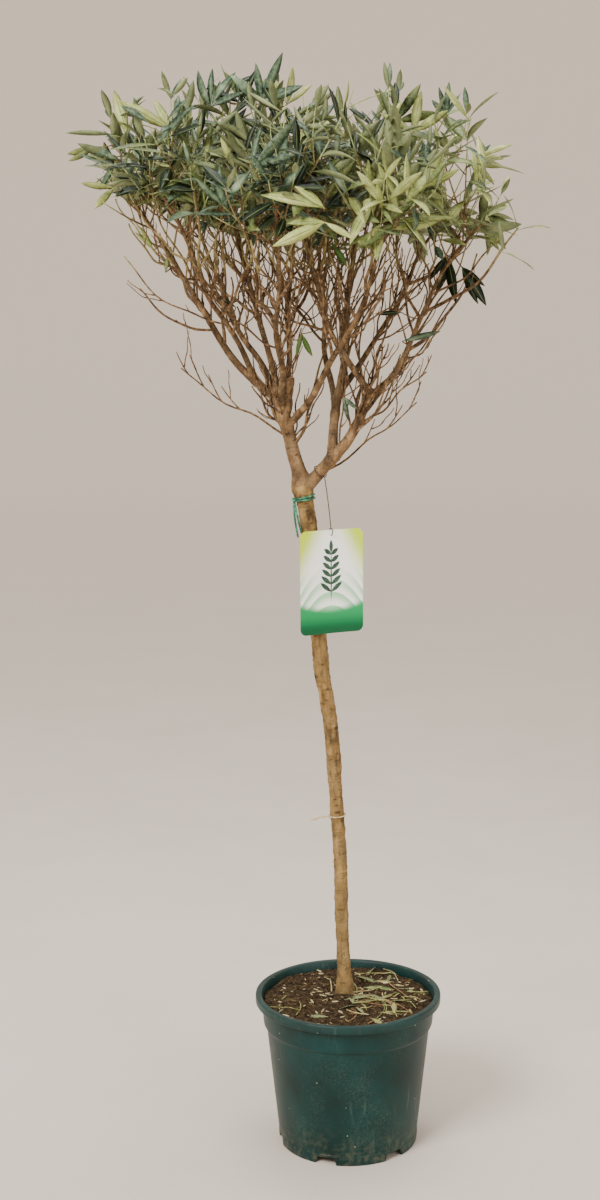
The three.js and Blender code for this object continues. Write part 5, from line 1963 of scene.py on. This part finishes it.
def make_thread():
    """The thread: a loop round the leader, a nearly straight
    run down, and an eye through the card's hole."""
    wire, sides = THREAD["wire"], THREAD["sides"]
    loop_steps, eye_steps, run_steps = THREAD["steps"]
    leader = limbs["leader_right"]
    centre = leader["line"].points(THREAD["at"])
    axis = tangent_at(leader["line"], THREAD["at"])
    radius = float(leader["radius"](THREAD["at"])) + BAND["room"] + wire
    down = unit(axis * axis[2] - UP)
    loop = loop_path(centre, axis, radius, loop_steps, down)
    hole, back = card_hole()
    eye_axis = np.cross(back, UP)
    eye_radius = CARD["drop"] / 2 + THREAD["eye_room"]
    eye_middle = hole + UP * eye_radius
    eye = loop_path(eye_middle, eye_axis, eye_radius, eye_steps, UP)
    steps = np.linspace(0, 1, run_steps)[:, None]
    run = lerp(centre + down * radius, eye_middle + UP * eye_radius, steps)
    run = run + np.sin(np.pi * steps) * RIGHT * THREAD["sway"]
    finish = fibre_material("thread_fibre", [(48, 36, 26), (76, 58, 42), (110, 90, 68)], 400.0, 0.8)
    surfaces = [
        wire_tube(loop, wire, sides, axis),
        wire_tube(eye, wire, sides, eye_axis),
        wire_tube(run, wire, sides, BACK),
    ]
    make_piece("card_loop", joined(surfaces), [finish], ["card_thread"])


def make_stage():
    """A plain pale floor, soft lights and the photograph's camera. The floor is a wide round
    dish: level rings out to its bend, then a quarter circle up, then a straight rise."""
    turn = np.linspace(0, np.pi / 2, DISH["bend_rings"])
    flat = np.linspace(0, DISH["radius"] - DISH["bend"], DISH["level_rings"])
    level = np.stack([flat, np.zeros(len(flat))], axis=-1)
    bend = np.stack([flat[-1] + DISH["bend"] * np.sin(turn), DISH["bend"] * (1 - np.cos(turn))], axis=-1)
    profile = np.concatenate([level, bend[1:], [[DISH["radius"], DISH["height"]]]])
    shell = rings_of(profile, DISH["columns"]) * METRES
    faces = grid_quads(len(profile), DISH["columns"], True)
    mesh = bpy.data.meshes.new("ground")
    mesh.from_pydata(shell.reshape(-1, 3).tolist(), [], faces[:, ::-1].tolist())
    mesh.polygons.foreach_set("use_smooth", np.ones(len(mesh.polygons), bool))
    mesh.materials.append(floor_material())
    ground = bpy.data.objects.new("ground", mesh)
    bpy.context.scene.collection.objects.link(ground)

    world = bpy.data.worlds.new("pale_sky")
    world.use_nodes = True
    for socket, value in SKY.items():
        world.node_tree.nodes["Background"].inputs[socket].default_value = value
    bpy.context.scene.world = world

    for name, place, aim, size, power in LAMPS:
        light = bpy.data.lights.new(name, "AREA")
        light.size = size
        light.energy = power
        lamp = bpy.data.objects.new(name, light)
        lamp.location = place
        toward = Vector(aim) - Vector(place)
        lamp.rotation_euler = toward.to_track_quat("-Z", "Y").to_euler()
        bpy.context.scene.collection.objects.link(lamp)

    camera = bpy.data.cameras.new("camera")
    for setting, value in CAMERA.items():
        setattr(camera, setting, value)
    eye = bpy.data.objects.new("camera", camera)
    eye.location = EYE * METRES
    eye.rotation_euler = (math.radians(90), 0, 0)
    bpy.context.scene.collection.objects.link(eye)
    bpy.context.scene.camera = eye


make_stage()
make_limbs()
make_tree()
make_pot()
make_soil()
string = fibre_material("pale_string", [(168, 142, 100), (198, 176, 134), (222, 204, 166)], 500.0, 0.9)
make_band("green_tie", TIE, tie_material(), "tie")
make_band("straw_string", STRING, string, "string")
make_card()
make_thread()
